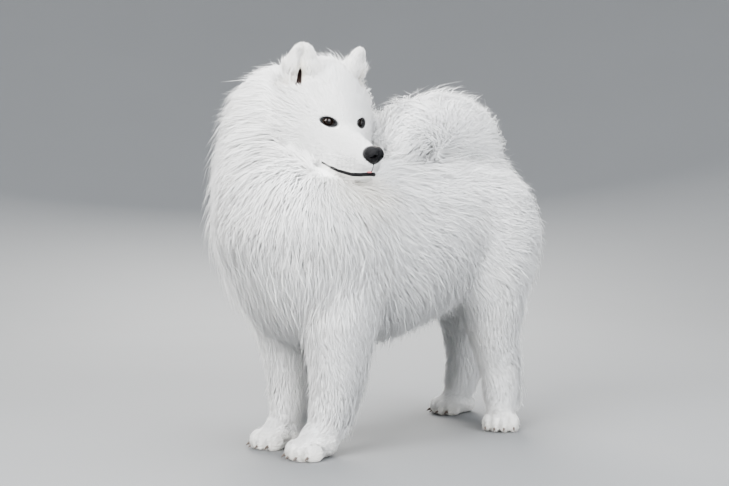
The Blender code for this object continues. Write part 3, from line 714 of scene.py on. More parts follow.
def close_to(points, middle, size):
    """1 at a middle, fading out over a size."""
    return np.exp(-(apart(points, middle) / size) ** 2)


def in_head(points):
    """Points in the head's own frame."""
    place = np.array(head_place().inverted())
    return points @ place[:3, :3].T + place[:3, 3]


def out_of_head(ways):
    """Directions of the head's own frame as the dog's."""
    return ways @ np.array(head_place())[:3, :3].T


def tail_way(points):
    """How far points belong to the tail, which way it runs there, and how far along they are."""
    middles = np.array([station[:3] for station in TAIL])
    best = np.full(len(points), FAR)
    along = np.zeros((len(points), 3))
    far = np.zeros(len(points))
    for at in range(1, len(middles) - 1):
        start, end = middles[at], middles[at + 1]
        run = end - start
        share = np.clip((points - start) @ run / (run @ run), 0, 1)
        away = np.linalg.norm(points - start - column(share) * run, axis=1)
        closer = away < best
        best = np.where(closer, away, best)
        along[closer] = run / np.linalg.norm(run)
        far = np.where(closer, at + share, far)
    reach = 0.060 + 0.012 * ramp(far, 1, 3)
    on_tail = (1 - ramp(best, reach, reach + 0.018)) * ramp(points[:, 2], 0.545, 0.580)
    return on_tail, along, far


def off_skull(spots):
    """How far points in the head's frame lie from the middle of the skull or muzzle, in its own sizes."""
    skull = apart(spots, (0, 0.035, -0.005), (0.112, 0.120, 0.125))
    return np.minimum(skull, apart(spots, (0, -0.050, -0.052), (0.052, 0.080, 0.060)))


def face_way(spots):
    """Which way the hair lies on the head, in its frame: back from the nose, and out over the cheeks."""
    way = unit(spots - np.array([0, -0.150, -0.050]))
    way[:, 0] *= 1.25
    below = ramp(-mouth_gap(spots), -0.004, 0.012) * (1 - ramp(spots[:, 1], 0.00, 0.03))
    way[:, 2] = np.where(spots[:, 1] < 0.01, way[:, 2] * 0.4 + 0.10, way[:, 2])
    way[:, 2] -= 0.55 * below
    return way


def swirl(points):
    """A slow uneven turn of the coat's lie, as an angle."""
    x, y, z = points.T
    slow = 0.16 * np.sin(27 * x + 19 * z + 1.1) + 0.16 * np.sin(23 * y - 25 * z + 0.4)
    return slow + 0.10 * np.sin(91 * y + 60 * z) + 0.10 * np.sin(83 * x - 77 * z + 2.0)


def from_plume(points):
    """Which way points lie from the middle of the tail's plume, seen from the side."""
    return unit((points - np.array(PLUME)) * np.array([0, 1, 1]))


def lie(points, faces):
    """Which way the coat lies: away from the face, back over the trunk, down the legs, out of the tail."""
    spots = in_head(points)
    near_face = close_to(points, head_place() @ Vector((0, 0.06, 0)), 0.17)
    back = ramp(points[:, 1], -0.27, -0.05) * ramp(points[:, 2], 0.24, 0.34)
    way = unit(points - np.array(head_place() @ NOSE_AT)) * column(2.2 * near_face)
    way += column(0.15 + 0.95 * back) * np.array([0, 1, 0])
    way += np.array([0, 0, -0.75])
    on_head = 1 - ramp(off_skull(spots), 0.90, 1.20)
    ear = on_ear(spots)
    way = way * column(1 - on_head) + out_of_head(face_way(spots)) * column(on_head)
    way = way * column(1 - ear) + out_of_head(np.array([[0, 0.1, 1]])) * column(ear)
    way += column(1.6 * (1 - ramp(points[:, 2], 0.025, 0.070))) * np.array([0, -1, 0.3])
    on_tail, along, far = tail_way(points)
    plume = from_plume(points) + np.array([0, 0.25, -0.05]) + along * column(0.25 * ramp(far, 6, 9))
    way = way * column(1 - on_tail) + plume * column(on_tail)
    way -= faces * column(np.sum(way * faces, axis=1))
    way = unit(way)
    turn = swirl(points) * (1 - 0.8 * on_head)
    return unit(way + np.cross(faces, way) * column(np.tan(turn)))


def least_depth(points):
    """The least depth of the coat over the skin."""
    spots = in_head(points)
    on_head = 1 - ramp(off_skull(spots), 0.85, 1.25)
    head = 0.0026 + 0.0110 * ramp(spots[:, 1], -0.010, 0.095)
    paws = 1 - ramp(points[:, 2], 0.035, 0.080)
    body = 0.0130 * (1 - paws) + 0.0040 * paws
    depth = head * on_head + body * (1 - on_head)
    return depth * (1 - 0.6 * on_ear(spots))


def surface_of(made, place=None):
    """A search tree of an object's surface, in a frame of its own if one is given."""
    bm = bmesh.new()
    bm.from_mesh(made.data)
    if place:
        bm.transform(place)
    tree = BVHTree.FromBMesh(bm)
    bm.free()
    return tree


def tree_of(points):
    """A search tree of points."""
    tree = KDTree(len(points))
    for at, point in enumerate(points):
        tree.insert(point, at)
    tree.balance()
    return tree


def spread_over(edges, values):
    """Each corner's values averaged with those of its neighbours."""
    start, end = edges.ravel(), edges[:, ::-1].ravel()
    found = np.bincount(start, minlength=len(values))
    sums = [np.bincount(start, along[end], len(values)) for along in values.T]
    return (values + np.stack(sums, axis=1) / column(found)) / 2


class Pelt:
    """The skin as the coat needs it: its corners, faces, unwrap, and depth of coat over it."""

    def __init__(self, skin):
        mesh = skin.data
        mesh.calc_loop_triangles()
        self.places = read(mesh.vertices, "co", 3)
        self.normals = read(mesh.vertex_normals, "vector", 3)
        self.triangles = read(mesh.loop_triangles, "vertices", 3, int)
        self.loops = read(mesh.loop_triangles, "loops", 3, int)
        self.unwrap = read(mesh.uv_layers["OFBake"].uv, "vector", 2)
        corners = self.places[self.triangles]
        cross = np.cross(corners[:, 1] - corners[:, 0], corners[:, 2] - corners[:, 0])
        self.areas = np.linalg.norm(cross, axis=1) / 2
        self.middles = corners.mean(axis=1)
        tips = coat_tips()
        ease_nape(tips, NAPE_EASE // 3)
        tree = surface_of(tips)
        drop(tips)
        near = np.array([tree.find_nearest(Vector(place))[0] for place in self.places])
        depth = np.sum((near - self.places) * self.normals, axis=1)
        self.depth = np.clip(depth, least_depth(self.places), MOST_DEPTH)
        self.way = lie(self.places, self.normals)
        edges = read(mesh.edges, "vertices", 2, int)
        for _ in range(14):
            self.normals = unit(spread_over(edges, self.normals))
            self.way = spread_over(edges, self.way)
            self.depth = spread_over(edges, column(self.depth))[:, 0]
        self.way = unit(self.way - self.normals * column(np.sum(self.way * self.normals, axis=1)))
        self.tree = tree_of(self.places)

    def nearest(self, points):
        """The skin's nearest corner to each point."""
        find = self.tree.find
        return np.array([find(point)[1] for point in points])


# The skin as the coat and the face need it, once it is built
PELT = {}


def ease_nape(skin, times):
    """Smooths the fold between the back of the head and the neck."""
    places = read(skin.data.vertices, "co", 3)
    edges = read(skin.data.edges, "vertices", 2, int)
    spots = in_head(places)
    fading = 1 - ramp(apart(spots, (0, 0.10, 0)), 0.20, 0.29)
    share = ramp(spots[:, 1], 0.022, 0.070) * fading * (1 - on_ear(spots)) * 0.9
    for _ in range(times):
        places += (spread_over(edges, places) - places) * column(share)
    move_to(skin.data, places)


def unwrap_skin(skin):
    """Gives the skin an unwrap of its own shape."""
    layer = bpy.context.view_layer
    for other in layer.objects:
        other.select_set(False)
    layer.objects.active = skin
    skin.select_set(True)
    skin.data.uv_layers.new(name="OFBake")
    bpy.ops.object.mode_set(mode="EDIT")
    bpy.ops.mesh.select_all(action="SELECT")
    bpy.ops.uv.smart_project(angle_limit=math.radians(72), island_margin=0.001)
    bpy.ops.object.mode_set(mode="OBJECT")
    skin.select_set(False)


def eye_gap(spots):
    """How far points in the head's frame are from the nearer eye's middle, as a share of its lids' size."""
    best = np.full(len(spots), FAR)
    for out in SIDES.values():
        axis, outward, upward = (np.array(way) for way in eye_axes(out))
        away = spots - np.array(eye_middle(out))
        flat = np.hypot(away @ outward / LID_HALF_LONG, away @ upward / LID_HALF_TALL)
        ahead = away @ axis
        best = np.minimum(best, np.where((ahead > 0) & (ahead < 0.04), flat, FAR))
    return best


def nose_gap(spots):
    """How far points in the head's frame are from the middle of the nose, in its own sizes."""
    return apart(spots, NOSE_AT, NOSE_RADII)


def mouth_height(y):
    """The height of the line of the mouth at places along the head."""
    line = np.array(MOUTH_LINE)[::-1]
    return np.interp(y, line[:, 0], line[:, 1])


def mouth_gap(spots):
    """How far points in the head's frame are above the line of the mouth; far for those behind it."""
    beside = (spots[:, 1] < MOUTH_LINE[0][0]) & (np.abs(spots[:, 0]) < 0.075)
    return np.where(beside, spots[:, 2] - mouth_height(spots[:, 1]), FAR)


def ear_cup(spots, wide=0.20, high=0.48):
    """How far points in the head's frame lie in the groove of an ear, as wide and as high as is given."""
    inside = np.zeros(len(spots))
    for out in SIDES.values():
        turned = spots * np.array([out, 1, 1]) - np.array(EAR_ROOT)
        x = turned[:, 0] * math.cos(EAR_TURN) + turned[:, 1] * math.sin(EAR_TURN)
        y = turned[:, 1] * math.cos(EAR_TURN) - turned[:, 0] * math.sin(EAR_TURN)
        up = turned[:, 2] / (EAR_TIP.z - EAR_ROOT.z)
        half = EAR_WIDTH / 2 * (1.02 - np.clip(up, 0, 1) ** 2)
        almond = np.sqrt(np.clip(1 - ((up - 0.10) / (high - 0.10)) ** 2, 0, 1))
        cup = ramp(half * wide * almond - np.abs(x - half * GROOVE), 0, 0.003)
        cup *= (1 - ramp(y, 0.010, 0.018)) * ramp(y, -0.030, -0.010)
        inside = np.maximum(inside, cup)
    return inside


def on_ear(spots):
    """How far points in the head's frame belong to an ear."""
    inside = np.zeros(len(spots))
    for out in SIDES.values():
        turned = spots * np.array([out, 1, 1]) - np.array(EAR_ROOT)
        flat = np.hypot(turned[:, 0] - 0.004, turned[:, 1] - 0.006)
        inside = np.maximum(inside, (1 - ramp(flat, 0.042, 0.052)) * ramp(turned[:, 2], 0.004, 0.018))
    return inside


def whisker_places():
    """Side, row and place in the row of each whisker."""
    return itertools.product(SIDES.values(), range(4), range(5))


def whisker_root(out, row, at):
    """Where one whisker starts, in the head's frame."""
    return Vector((out * (0.0275 + 0.0020 * at), -0.083 + 0.0085 * at, -0.058 - 0.0062 * row))


def whisker_dots_and_nose_shade(spots):
    """The painted grey shade below the nose, and the dots at the roots of the whiskers."""
    folded = np.column_stack([np.abs(spots[:, 0]), spots[:, 1:]])
    # Painted shade below the nose, on both sides of the muzzle's front
    dots = 0.42 * close_to(folded, (0.017, -0.094, -0.072), 0.013)
    near = np.flatnonzero(apart(spots, (0, -0.066, -0.068)) < 0.055)
    for out, row, at in whisker_places():
        there = 0.9 * close_to(spots[near], whisker_root(out, row, at), 0.0024)
        dots[near] = np.maximum(dots[near], there)
    return dots


def markings(points):
    """The cream tint with a painted shadow under the chin, dark skin, the ear grooves that carry painted
    shade, and the whisker dots with a painted shade below the nose, at points of the skin.
    """
    spots = in_head(points)
    # Cream under the chin: partly a real tint, partly the painted shadow that the chin casts on the ruff
    chin_tint_and_shadow = close_to(spots, (0, -0.035, -0.122), 0.040)
    muzzle = close_to(spots, (0, -0.085, -0.085), 0.022)
    feet = 1 - ramp(points[:, 2], 0.0, 0.05)
    cream = 0.25 * on_ear(spots) + 0.95 * chin_tint_and_shadow + 0.25 * muzzle + 0.45 * feet + 0.5 * ear_cup(spots, 0.45)
    dark = 1 - ramp(eye_gap(spots), 1.12, 1.50)
    dark = np.maximum(dark, 1 - ramp(nose_gap(spots), 1.04, 1.16))
    dark = np.maximum(dark, 1 - ramp(np.abs(mouth_gap(spots)), 0.0016, 0.0036))
    return {"cream": np.clip(cream, 0, 1), "dark": dark, "cup": ear_cup(spots), "dots": whisker_dots_and_nose_shade(spots)}


def mark(mesh, points):
    """Writes the markings into a mesh."""
    for name, values in markings(points).items():
        carry(mesh, name, values)


class Socket:
    """A socket of a finish, on which +, - and * make Math nodes."""

    def __init__(self, finish, source):
        self.finish = finish
        self.source = source

    def math(self, operation, *values):
        return self.finish.add("ShaderNodeMath", {"operation": operation}, values)

    def __add__(self, other):
        return self.math("ADD", self, other)

    def __sub__(self, other):
        return self.math("SUBTRACT", self, other)

    def __rsub__(self, other):
        return self.math("SUBTRACT", other, self)

    def __mul__(self, other):
        return self.math("MULTIPLY", self, other)

    __radd__ = __add__
    __rmul__ = __mul__


class Finish:
    """A material made from nodes."""

    def __init__(self, name, **constants):
        self.material = bpy.data.materials.new(name)
        self.material.use_nodes = True
        self.tree = self.material.node_tree
        self.shader = self.tree.nodes["Principled BSDF"]
        for socket, value in constants.items():
            self.set(socket.replace("_", " "), value)

    def set(self, name, value):
        """Sets or links one socket of the shader."""
        self.put(self.shader.inputs[name], value)

    def put(self, socket, value):
        """Sets or links any socket."""
        if isinstance(value, Socket):
            self.tree.links.new(value.source, socket)
        elif socket.type == "RGBA" and len(value) == 3:
            socket.default_value = (*value, 1)
        else:
            socket.default_value = value

    def add(self, kind, settings=None, values=(), output=0):
        """A node of one type, its settings set first, then the values or links of its sockets."""
        node = self.tree.nodes.new(kind)
        for name, value in (settings or {}).items():
            if name == "stops":
                self.set_stops(node.color_ramp.elements, value)
            else:
                setattr(node, name, value)
        pairs = values.items() if isinstance(values, dict) else enumerate(values)
        for name, value in pairs:
            self.put(node.inputs[name], value)
        return Socket(self, node.outputs[output])

    def set_stops(self, elements, stops):
        """Sets the stops of a colour ramp."""
        while len(elements) < len(stops):
            elements.new(0.5)
        for element, (place, colour) in zip(elements, stops):
            element.position = place
            element.color = (*colour, 1)

    def attribute(self, name):
        """A value that a mesh carries at its corners."""
        return self.add("ShaderNodeAttribute", {"attribute_name": name}, output="Fac")

    def place(self):
        """Where a point lies on the object."""
        return self.add("ShaderNodeTexCoord", output="Object")

    def noise(self, scale, detail=3):
        """Soft noise over the surface."""
        values = {"Vector": self.place(), "Scale": scale, "Detail": detail}
        return self.add("ShaderNodeTexNoise", {}, values)

    def mix(self, share, first, second):
        """A blend of two colours."""
        return self.add("ShaderNodeMix", {"data_type": "RGBA"}, {0: share, 6: first, 7: second}, output=2)

    def bump(self, height, distance, strength=1.0):
        """Unevenness of the surface."""
        self.set("Normal", self.add("ShaderNodeBump", {}, {"Height": height, "Distance": distance,
                                                           "Strength": strength}))


def clamp(value):
    """A socket's value kept between 0 and 1."""
    return value.finish.add("ShaderNodeClamp", {}, (value,))


def coat_finish():
    """White hair with a cream tint and soft uneven shade, a painted shadow under the chin and a painted
    shade below the nose.
    """
    colours = bpy.context.scene.dog_colours
    finish = Finish(
        "coat_hair", Roughness=0.62, Specular_IOR_Level=0.2, Sheen_Weight=0.2, Sheen_Roughness=0.4,
        Subsurface_Weight=0.35, Subsurface_Radius=(1.0, 0.95, 0.9), Subsurface_Scale=0.012)
    soft = finish.noise(14, 2)
    # The cream mask also holds the painted shadow under the chin
    cream = clamp(finish.attribute("cream") + (soft - 0.5) * 0.45)
    tinted = finish.mix(cream, colours.coat, colours.cream)
    fine = finish.noise(70, 3)
    shaded = finish.mix(fine * 0.16, tinted, (0.80, 0.82, 0.86))
    # Grey whisker dots and the painted shade below the nose
    finish.set("Base Color", finish.mix(finish.attribute("dots") * DOT_AND_SHADE_SHARE, shaded, DOT_AND_SHADE_GREY))
    return finish.material


def skin_finish():
    """Skin under the coat: pale, and dark round the eyes, nose and mouth; in the grooves of the ears near
    black, as painted shade over the bare skin.
    """
    colours = bpy.context.scene.dog_colours
    finish = Finish("skin", Specular_IOR_Level=0.3)
    # The cream mask also holds the painted shadow under the chin
    cream = finish.attribute("cream")
    dark = clamp(finish.attribute("dark"))
    cup = finish.attribute("cup")
    fur = finish.mix(cream, colours.coat, colours.cream)
    # Painted shade in the ear grooves: the bare skin there is coloured near black
    groove = finish.mix(finish.noise(90, 3), colours.inner_ear_shade, (0.035, 0.017, 0.013))
    # Grey whisker dots and the painted shade below the nose
    bare = finish.mix(finish.attribute("dots") * DOT_AND_SHADE_SHARE, finish.mix(cup, fur, groove), DOT_AND_SHADE_GREY)
    finish.set("Base Color", finish.mix(dark, bare, colours.leather))
    finish.set("Roughness", 0.75 - dark * 0.35)
    finish.bump(finish.noise(900, 4), 0.0005, 0.6)
    return finish.material


def leather_finish(name, pebble, roughness, shine=0.20):
    """Black leather, pebbled at some fineness."""
    colours = bpy.context.scene.dog_colours
    finish = Finish(name, Specular_IOR_Level=shine)
    cells = finish.add("ShaderNodeTexVoronoi", {"feature": "DISTANCE_TO_EDGE"},
                       {"Vector": finish.place(), "Scale": pebble})
    soft = finish.noise(240, 3)
    finish.set("Base Color", finish.mix(soft, colours.leather, (0.006, 0.006, 0.008)))
    finish.set("Roughness", soft * 0.20 + roughness)
    finish.bump(clamp(cells * 3) + soft * 0.4, 0.0004, 0.7)
    return finish.material


def claw_finish():
    """Dark satin horn with a fine grain."""
    finish = Finish("claw_horn", Roughness=0.38, Specular_IOR_Level=0.5)
    grain = finish.noise(400, 4)
    finish.set("Base Color", finish.mix(grain, (0.055, 0.045, 0.040), (0.15, 0.12, 0.10)))
    finish.bump(grain, 0.0002, 0.5)
    return finish.material


def eye_finish():
    """A wet dark eye whose iris is a little paler than its pupil."""
    colours = bpy.context.scene.dog_colours
    finish = Finish("eye_wet", Roughness=0.04, Specular_IOR_Level=0.4)
    rim = finish.attribute("rim")
    fibres = finish.noise(520, 4)
    iris = finish.mix(fibres, colours.iris, (0.012, 0.006, 0.003))
    stops = [(0.0, (0, 0, 0)), (0.40, (0, 0, 0)), (0.46, (1, 1, 1)), (1.0, (1, 1, 1))]
    ring = finish.add("ShaderNodeValToRGB", {"stops": stops}, (rim,))
    coloured = finish.mix(ring, (0.003, 0.002, 0.002), iris)
    white = clamp((rim - 1.05) * 12)
    finish.set("Base Color", finish.mix(white, coloured, (0.10, 0.07, 0.055)))
    return finish.material


def eyes_of(out):
    """One eyeball with a slight bulge of the cornea, in the dog's frame."""
    axis, _, _ = eye_axes(out)
    made = object_of("eye", lambda bm: ball(bm, (0, 0, 0), (1, 1, 1), rows=40))
    places = read(made.data.vertices, "co", 3)
    ahead = np.clip(places @ np.array(axis), -1, 1)
    angle = np.arccos(ahead) / IRIS_EDGE
    bulge = 1 + CORNEA_BULGE * (1 - ramp(angle, 0.5, 1.15))
    move_to(made.data, places * column(bulge * EYE_RADIUS))
    carry(made.data, "rim", angle)
    made.data.transform(head_place() @ Matrix.Translation(eye_middle(out)))
    return made


def lid_rims(tree):
    """The dark rims of the lids: bands from the eyeball out over the edges of the openings."""
    steps = 64

    def fill(bm):
        for out in SIDES.values():
            axis, _, _ = eye_axes(out)
            middle = eye_middle(out)
            rings = []
            for step in range(steps):
                share = step / steps
                corner = abs(math.cos(2 * math.pi * share)) ** 6
                inner = lid_edge(out, share, 0.90)
                outer = lid_edge(out, share, 1.17 + 0.20 * corner)
                reach = math.sqrt(max((EYE_RADIUS + 0.0004) ** 2 - inner.length_squared, 0.000036))
                spot, _, _, _ = tree.ray_cast(middle + outer + axis * 0.03, -axis)
                low = middle + inner + axis * (reach - 0.0008)
                high = middle + inner + axis * (reach + 0.0007)
                crest = (high + spot) / 2 + axis * 0.0013
                section = (low, high, crest, spot + axis * 0.0003, spot - axis * 0.0022)
                rings.append([bm.verts.new(place) for place in section])
            for at, ring in enumerate(rings):
                join_rings(bm, ring, rings[(at + 1) % steps])

    return head_piece("lid_rims", fill)


def nose_leather():
    """The nose, broad and flat-topped, with two comma-shaped nostrils and a groove between them."""

    def shape(place):
        x, y, z = place
        flat = 1 - 0.10 * max(z, 0)
        groove = 0.09 * math.exp(-(x / 0.10) ** 2) * max(-y, 0) * (1 if z < 0.45 else 0.3)
        lower = 1 - 0.22 * max(-z - 0.2, 0)
        return Vector((x * lower, y * flat + groove, z * flat))

    nose = object_of("nose", lambda bm: ball(bm, (0, 0, 0), (1, 1, 1), rows=44))
    for vert in nose.data.vertices:
        made = shape(vert.co)
        vert.co = NOSE_AT + Vector(made[axis] * NOSE_RADII[axis] for axis in range(3))
    holes = []
    for out in SIDES.values():
        turn = Matrix.Rotation(out * 0.55, 4, "Z") @ Matrix.Rotation(out * 0.35, 4, "Y")
        for (x, y, z), radii in NOSTRIL:
            spot = NOSE_AT + Vector((out * x, y, z))
            holes.append(object_of("hole", lambda bm: ball(bm, spot, radii, turn)))
    combined(nose, holes, "DIFFERENCE")
    nose.data.transform(head_place())
    return nose


def lip_route(tree):
    """Points on the skin of the head along the line of the mouth, from one corner to the other."""
    centre_y = -0.062
    points = []
    steps = 60
    for step in range(steps + 1):
        swing = math.radians(152 * (2 * step / steps - 1))
        aim = Vector((math.sin(swing), -math.cos(swing), 0))
        y = centre_y
        for _ in range(4):
            spot, _, _, _ = tree.ray_cast(Vector((0, centre_y, mouth_height(y) + LIP_RISE)), aim)
            if spot is None:
                break
            y = spot.y
        if spot is not None and y < MOUTH_LINE[0][0]:
            points.append(spot)
    return points


def lips(tree):
    """The black lips: a roll along the line of the mouth, and the line from it up to the nose."""

    def fill(bm):
        points = lip_route(tree)
        last = len(points) - 1
        thicks = [LIP_THICK * (0.75 + 0.25 * math.sin(math.pi * at / last)) for at in range(last + 1)]
        swept(bm, points, thicks)
        heights = [-0.058 - 0.0045 * step for step in range(7)]
        spots = [tree.ray_cast(Vector((0.0004, -0.2, height)), Vector((0, 1, 0)))[0] for height in heights]
        swept(bm, [spot for spot in spots if spot], [PHILTRUM_THICK] * len(spots), up=Vector((0, 1, 0)))

    return head_piece("lips", fill)


def claw_shapes(bm):
    """Four claws on each paw, curving down in front of their toes."""
    across, rise = Vector((1, 0, 0)), Vector((0, 0, 1))
    for side in SIDES:
        for paws in (FORE_PAWS, HIND_PAWS):
            place = paw_place(paws[side])
            for share, toe in toe_spots():
                start = toe + Vector((share * 0.0010, -PAW_LENGTH * 0.19, -0.005))
                rings = []
                for ahead, down, thick in CLAW_BEND:
                    middle = start + Vector((share * ahead * 0.12, -ahead, -down))
                    ring = ring_points(middle, across, thick * 0.72, rise, thick, 12)
                    rings.append([place @ point for point in ring])
                close_tube(bm, rings)


def whisker_shapes(bm):
    """Long thin whiskers on the pads of the muzzle."""
    draw = np.random.default_rng(11)
    for out, row, at in whisker_places():
        root = whisker_root(out, row, at)
        way = Vector((out * 0.9, 0.35 + 0.14 * at, 0.14 - 0.05 * row)).normalized()
        length = 0.030 + 0.006 * at + draw.uniform(0, 0.008)
        sag = Vector((0, 0.10, -0.12)) * length
        points = [root + way * (length * share) + sag * share ** 2 for share in WHISKER_TAPER]
        swept(bm, points, WHISKER_TAPER.values(), sides=4)


# How the coat grows in each region: mean distance of the tufts, half width, distance of the clumps, how far
# they draw together, rings along a tuft, and how far its shading is that of the skin below
GROWTHS = {
    "face": (0.00150, 0.00058, 0.0060, 0.30, 1, 0.45),
    "crown": (0.0018, 0.00075, 0.0110, 0.46, 2, 0.55),
    "ears": (0.00150, 0.00058, 0.0070, 0.40, 1, 0.45),
    "neck": (0.0030, 0.00110, 0.0150, 0.30, 2, 0.80),
    "chest": (0.0030, 0.00110, 0.0170, 0.30, 2, 0.84),
    "flank": (0.0035, 0.00120, 0.0130, 0.22, 2, 0.82),
    "rump": (0.0036, 0.00120, 0.0130, 0.24, 2, 0.82),
    "tail": (0.0029, 0.00100, 0.0150, 0.28, 2, 0.78),
    "forelegs": (0.0031, 0.00100, 0.0100, 0.30, 2, 0.80),
    "hindlegs": (0.0030, 0.00100, 0.0100, 0.30, 2, 0.80),
    "paws": (0.0023, 0.00080, 0.0060, 0.30, 1, 0.48),
}
REGIONS = list(GROWTHS)

# The rings of a tuft with one ring and with two: place along it, and width as a share of the widest
TUFT_FORMS = {1: ((0.40, 1.0),), 2: ((0, 0.62), (0.48, 1.0))}


def region_of(points):
    """The region that each point of the skin belongs to, as its place in the list."""
    _, y, z = points.T
    spots = in_head(points)
    across, along, up = spots.T
    on_tail, _, _ = tail_way(points)
    ahead = along < 0.016 + 0.25 * np.clip(up + 0.06, -0.05, 0.05)
    named = np.full(len(points), REGIONS.index("flank"))
    for region, there in (
        ("rump", y > 0.135),
        ("chest", y < -0.155),
        ("neck", (y < -0.10) & (z > 0.50)),
        ("forelegs", (z < 0.275) & (y < -0.08)),
        ("hindlegs", (z < 0.270) & (y > 0.08)),
        ("paws", z < 0.060),
        ("tail", on_tail > 0.5),
        ("crown", (off_skull(spots) < 1.0) & (along < 0.125)),
        ("face", ahead & (up > -0.125) & (np.abs(across) < 0.075) & (along > -0.15)),
        ("ears", on_ear(spots) > 0.5),
    ):
        named[there] = REGIONS.index(region)
    return named


def open_places(points):
    """Where hair neither grows nor lies: eyes, nose, lips, and the grooves of the ears."""
    spots = in_head(points)
    inner = 1 - ramp(np.abs(spots[:, 0]), 0.022, 0.034)
    bare = eye_gap(spots) < 1.18 + 0.22 * inner
    bare |= nose_gap(spots) < 1.05
    bare |= np.abs(mouth_gap(spots)) < LIP_CLEAR
    return bare | (ear_cup(spots, 0.14) > 0.5)


def tuft_roots(pelt, region, spacing, draw):
    """Roots spread evenly over one region: the triangle and the shares of its corners for each."""
    wanted = (region_of(pelt.middles) == REGIONS.index(region)) & ~open_places(pelt.middles)
    wanted &= pelt.middles[:, 2] > 0.002
    weights = np.where(wanted, pelt.areas, 0)
    run = np.cumsum(weights)
    count = int(run[-1] / spacing ** 2 * bpy.context.scene.dog_coat.fullness)
    at = np.searchsorted(run, (np.arange(count) + draw.random(count)) / count * run[-1])
    at = np.minimum(at, len(run) - 1)
    shares = draw.random((count, 2))
    over = shares.sum(axis=1) > 1
    shares[over] = 1 - shares[over]
    shares = np.concatenate([1 - shares.sum(axis=1, keepdims=True), shares], axis=1)
    return at, shares


def under_chest(points):
    """How far points belong to the lower end of the chest, between the forelegs."""
    middle = 1 - ramp(np.abs(points[:, 0]), 0.028, 0.060)
    return middle * ramp(points[:, 2], 0.19, 0.23) * (1 - ramp(points[:, 1], -0.12, -0.08))


def head_length(spots, behind, cheek):
    """How long the hair is on the head: short before the eyes, longer behind them and on the cheeks."""
    muzzle = 0.0058 + 0.0080 * ramp(spots[:, 1], -0.085, -0.015)
    head = muzzle * (1 - behind) + (0.034 + 0.030 * cheek) * behind
    head *= 0.42 + 0.58 * ramp(eye_gap(spots), 1.1, 3.2)
    before_ear = apart(np.abs(spots), (0.074, 0.050, 0.076))
    head *= 0.30 + 0.70 * ramp(before_ear, 0.020, 0.045)
    mouth = mouth_gap(spots)
    head = np.where(mouth < FAR, head * (0.35 + 0.65 * ramp(np.abs(mouth), 0.004, 0.024)), head)
    corner = apart(np.abs(spots), (0.050, 0.009, 0.076))
    return head * np.where(spots[:, 2] < 0, 0.25 + 0.75 * ramp(corner, 0.010, 0.032), 1)


def coat_lengths(points, faces, depth):
    """How long the hair is at each point, and how far it stands off as a share of that."""
    spots = in_head(points)
    on_head = 1 - ramp(off_skull(spots), 0.95, 1.30)
    lower = ramp(-spots[:, 2], -0.010, 0.045)
    behind = ramp(spots[:, 1] + 0.020 * lower, -0.028, 0.062)
    cheek = ramp(np.abs(spots[:, 0]), 0.045, 0.080) * ramp(-spots[:, 2], -0.110, -0.030) * behind
    head = head_length(spots, behind, cheek)
    low = (1 - ramp(points[:, 2], 0.20, 0.33)) * (1 - under_chest(points))
    feather = low * ramp(faces[:, 1], 0.25, 0.85) * ramp(points[:, 2], 0.030, 0.080)
    paws = 1 - ramp(points[:, 2], 0.030, 0.080)
    body = (0.030 + 1.45 * depth) * (1 - low) + (0.020 + 1.00 * depth + 0.018 * feather) * low
    body = body * (1 - paws) + 0.0150 * paws
    on_tail, _, _ = tail_way(points)
    body = body * (1 - on_tail) + (0.050 + 1.50 * depth) * on_tail
    length = body * (1 - on_head) + head * on_head
    ear = on_ear(spots)
    ear_foot = 1 - ramp(spots[:, 2], 0.075, 0.115)
    length = length * (1 - ear) + (0.0105 + 0.0190 * ear_foot) * ear
    outward = np.clip(np.sum(from_plume(points) * faces, axis=1), 0, 1)
    plume = on_tail * (0.04 + 0.14 * outward)
    lift = 0.46 * cheek * on_head + 0.12 * behind * on_head + 0.30 * feather + plume
    return length, lift + (0.06 + 0.20 * ear_foot) * ear


def kept_within(paths):
    """The same points, those too far outside the solids brought in."""
    low, high = (np.array(corner) for corner in solid_box)
    margin = (high - low) * 0.03 + 0.007
    floor = np.array([0, 0, margin[2] + 0.0008])
    return np.clip(paths, low - margin + floor - np.array(SHIFT), high + margin - np.array(SHIFT))


def tuft_paths(pelt, roots, nearest, draw, steps=4):
    """Points along each tuft, from its root over the skin towards its tip."""
    count = len(roots)
    lengths, lift = coat_lengths(roots, pelt.normals[nearest], pelt.depth[nearest])
    stray = draw.random(count) < STRAYS
    lengths = lengths * draw.uniform(0.72, 1.15, count) * np.where(stray, 1.22, 1)
    reach = draw.uniform(0.60, 1.08, count) * np.where(stray, 1.30, 1)
    crown = close_to(in_head(roots), (0.020, 0.055, 0.115), 0.030)
    lifted = lengths * (lift + np.where(stray, 0.16 + 0.75 * crown, 0)) * draw.uniform(0.4, 1.1, count)
    hang = 0.40 * ramp(-pelt.normals[nearest, 2], 0.05, 0.60) * ramp(roots[:, 2], 0.20, 0.27)
    hang = np.maximum(hang, 0.50 * under_chest(roots) * (1 - ramp(roots[:, 2], 0.30, 0.38)))
    hang *= off_skull(in_head(roots)) > 1.3
    spread = draw.normal(0, 0.26, count)
    bend = draw.normal(0, 0.35, count)
    sunk = np.minimum(0.0015, lengths * 0.06)
    base = roots.copy()
    paths, faces_along = [], []
    for step in range(steps + 1):
        share = step / steps
        faces = pelt.normals[nearest]
        way = pelt.way[nearest]
        side = np.cross(faces, way)
        way = unit(way + side * column(spread + bend * (share - 0.4)))
        stand = 1 - (1 - share) ** 1.7
        height = (pelt.depth[nearest] * reach + lifted) * stand
        fall = column(hang * lengths * share ** 2) * np.array([0, 0, -1])
        paths.append(base + faces * column(height - sunk * (1 - share)) + fall)
        faces_along.append(faces)
        base = base + way * column(lengths / steps)
        nearest = pelt.nearest(base)
        drift = np.sum((base - pelt.places[nearest]) * pelt.normals[nearest], axis=1)
        base = base - pelt.normals[nearest] * column(drift)
    return kept_within(np.stack(paths, axis=1)), np.stack(faces_along, axis=1), np.where(stray, 0.55, 1)


